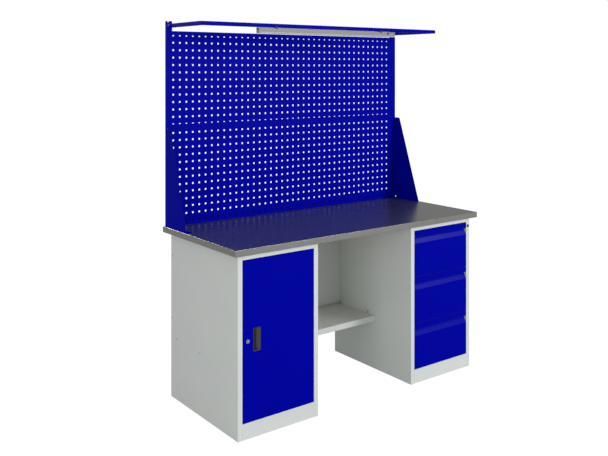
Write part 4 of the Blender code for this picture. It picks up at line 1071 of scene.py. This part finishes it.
class WORKBENCH_OT_paint_rest(bpy.types.Operator):
    """Give the pieces that keep their own shape their finishes"""

    bl_idname = "workbench.paint_rest"
    bl_label = "Paint the Rest"

    def execute(self, context):
        for node, piece in frame["nodes"].items():
            coat(piece, SLOT_OF[node])
        return {'FINISHED'}


class WORKBENCH_OT_set_studio(bpy.types.Operator):
    """Set the pale floor, the soft light and the photograph's camera"""

    bl_idname = "workbench.set_studio"
    bl_label = "Set Studio"

    def execute(self, context):
        self.camera()
        self.floor()
        self.sky()
        power = studio()
        self.lamp("key_light", (4.8, -8.3, 2.7), (0.0, 0.0, 0.8), 3.2, power.key)
        self.lamp("fill_light", (-4.0, -2.5, 1.15), (0.0, 0.0, 0.9), 2.0, power.fill)
        shine = self.lamp("shine_light", (3.9, -2.9, 4.1), (0.55, -0.35, 0.5), 1.6, power.shine)
        rim = self.lamp("rim_light", (-1.5, 6.0, 3.6), (-0.8, 0.0, 0.87), 2.0, power.rim)
        for gloss in (shine, rim):
            gloss.visible_diffuse = False
        fronts = bpy.data.collections.new("shine_receivers")
        for number in DRAWERS:
            fronts.objects.link(bpy.data.objects[f"drawer_front_{number}"])
        shine.light_linking.receiver_collection = fronts
        context.scene.view_settings.view_transform = 'Standard'
        return {'FINISHED'}

    def camera(self):
        settings = studio()
        deselect_all()
        bpy.ops.object.camera_add(location=settings.camera_place,
                                  rotation=(QUARTER_TURN, 0.0, -settings.camera_turn))
        camera = bpy.context.active_object
        camera.name = "photograph_camera"
        camera.data.lens = settings.lens
        camera.data.sensor_width = 36.0
        camera.data.shift_y = settings.rise
        camera.data.clip_end = 200.0
        bpy.context.scene.camera = camera

    def floor(self):
        """A pale floor that the camera sees as white, apart from a part of its shadow."""
        deselect_all()
        bpy.ops.mesh.primitive_plane_add(size=60.0, location=(0.0, 0.0, -0.0005))
        floor = named("studio_floor")
        material = bpy.data.materials.new("floor_white")
        material.use_nodes = True
        tree = material.node_tree
        shader = tree.nodes["Principled BSDF"]
        shader.inputs["Base Color"].default_value = (0.50, 0.50, 0.50, 1.0)
        shader.inputs["Roughness"].default_value = 0.9
        shader.inputs["Specular IOR Level"].default_value = 0.0
        white = add_node(tree, 'ShaderNodeEmission', (0, -200), {"Strength": 1.16})
        share = reckon(tree, (0, 200), 'MULTIPLY', self.seen(tree, studio().floor_mirrored),
                       studio().floor_white)
        mix = add_node(tree, 'ShaderNodeMixShader', (300, 0),
                       {0: share, 1: shader.outputs[0], 2: white.outputs[0]})
        tree.links.new(mix.outputs[0], tree.nodes["Material Output"].inputs["Surface"])
        floor.data.materials.append(material)

    def seen(self, tree, in_gloss):
        """1 for what the camera sees itself or through glass, less in a reflection, and 0 for light."""
        paths = add_node(tree, 'ShaderNodeLightPath', (-900, 300)).outputs
        mirrored = reckon(tree, (-700, 300), 'MULTIPLY', paths["Is Glossy Ray"], in_gloss)
        direct = reckon(tree, (-500, 300), 'MAXIMUM', paths["Is Camera Ray"], mirrored)
        return reckon(tree, (-300, 300), 'MAXIMUM', direct, paths["Is Transmission Ray"])

    def sky(self):
        """Soft light from all round, before a backdrop that the camera sees as white."""
        world = bpy.data.worlds.new("studio_sky")
        bpy.context.scene.world = world
        world.use_nodes = True
        tree = world.node_tree
        backdrop = tree.nodes["Background"]
        backdrop.inputs["Color"].default_value = (1.0, 1.0, 1.0, 1.0)
        paths = add_node(tree, 'ShaderNodeLightPath', (-900, -200)).outputs
        diffuse = reckon(tree, (-300, -200), 'MULTIPLY', paths["Is Diffuse Ray"], studio().sky)
        level = reckon(tree, (-100, 0), 'MAXIMUM', self.seen(tree, studio().mirrored), diffuse)
        tree.links.new(level, backdrop.inputs["Strength"])

    def lamp(self, name, place, target, size, power):
        deselect_all()
        aim = (Vector(target) - Vector(place)).to_track_quat('-Z', 'Y').to_euler()
        bpy.ops.object.light_add(type='AREA', location=place, rotation=aim)
        lamp = bpy.context.active_object
        lamp.name = name
        lamp.data.size = size
        lamp.data.energy = power
        return lamp


STEPS = ("mix_finishes", "paint_rest", "fold_sheets", "punch_panels", "mitre_tube", "mould_pull",
         "turn_locks", "build_lamp", "fit_bolts", "set_studio")


class WORKBENCH_PT_steps(bpy.types.Panel):
    """The steps that finish the bench, in order"""

    bl_label = "Workbench"
    bl_idname = "WORKBENCH_PT_steps"
    bl_space_type = 'VIEW_3D'
    bl_region_type = 'UI'
    bl_category = "Workbench"

    def draw(self, context):
        for step in STEPS:
            self.layout.operator(f"workbench.{step}")


CLASSES = (WorkbenchPaint, WorkbenchSizes, WorkbenchStudio, WORKBENCH_OT_mix_finishes,
           WORKBENCH_OT_paint_rest, WORKBENCH_OT_fold_sheets, WORKBENCH_OT_punch_panels,
           WORKBENCH_OT_mitre_tube, WORKBENCH_OT_mould_pull, WORKBENCH_OT_turn_locks,
           WORKBENCH_OT_build_lamp, WORKBENCH_OT_fit_bolts, WORKBENCH_OT_set_studio,
           WORKBENCH_PT_steps)


def register():
    for item in CLASSES:
        bpy.utils.register_class(item)
    bpy.types.Scene.workbench_paint = PointerProperty(type=WorkbenchPaint)
    bpy.types.Scene.workbench_sizes = PointerProperty(type=WorkbenchSizes)
    bpy.types.Scene.workbench_studio = PointerProperty(type=WorkbenchStudio)


def unregister():
    del bpy.types.Scene.workbench_studio
    del bpy.types.Scene.workbench_sizes
    del bpy.types.Scene.workbench_paint
    for item in reversed(CLASSES):
        bpy.utils.unregister_class(item)


def main():
    register()
    for step in STEPS:
        getattr(bpy.ops.workbench, step)()


if __name__ == "__main__":
    main()
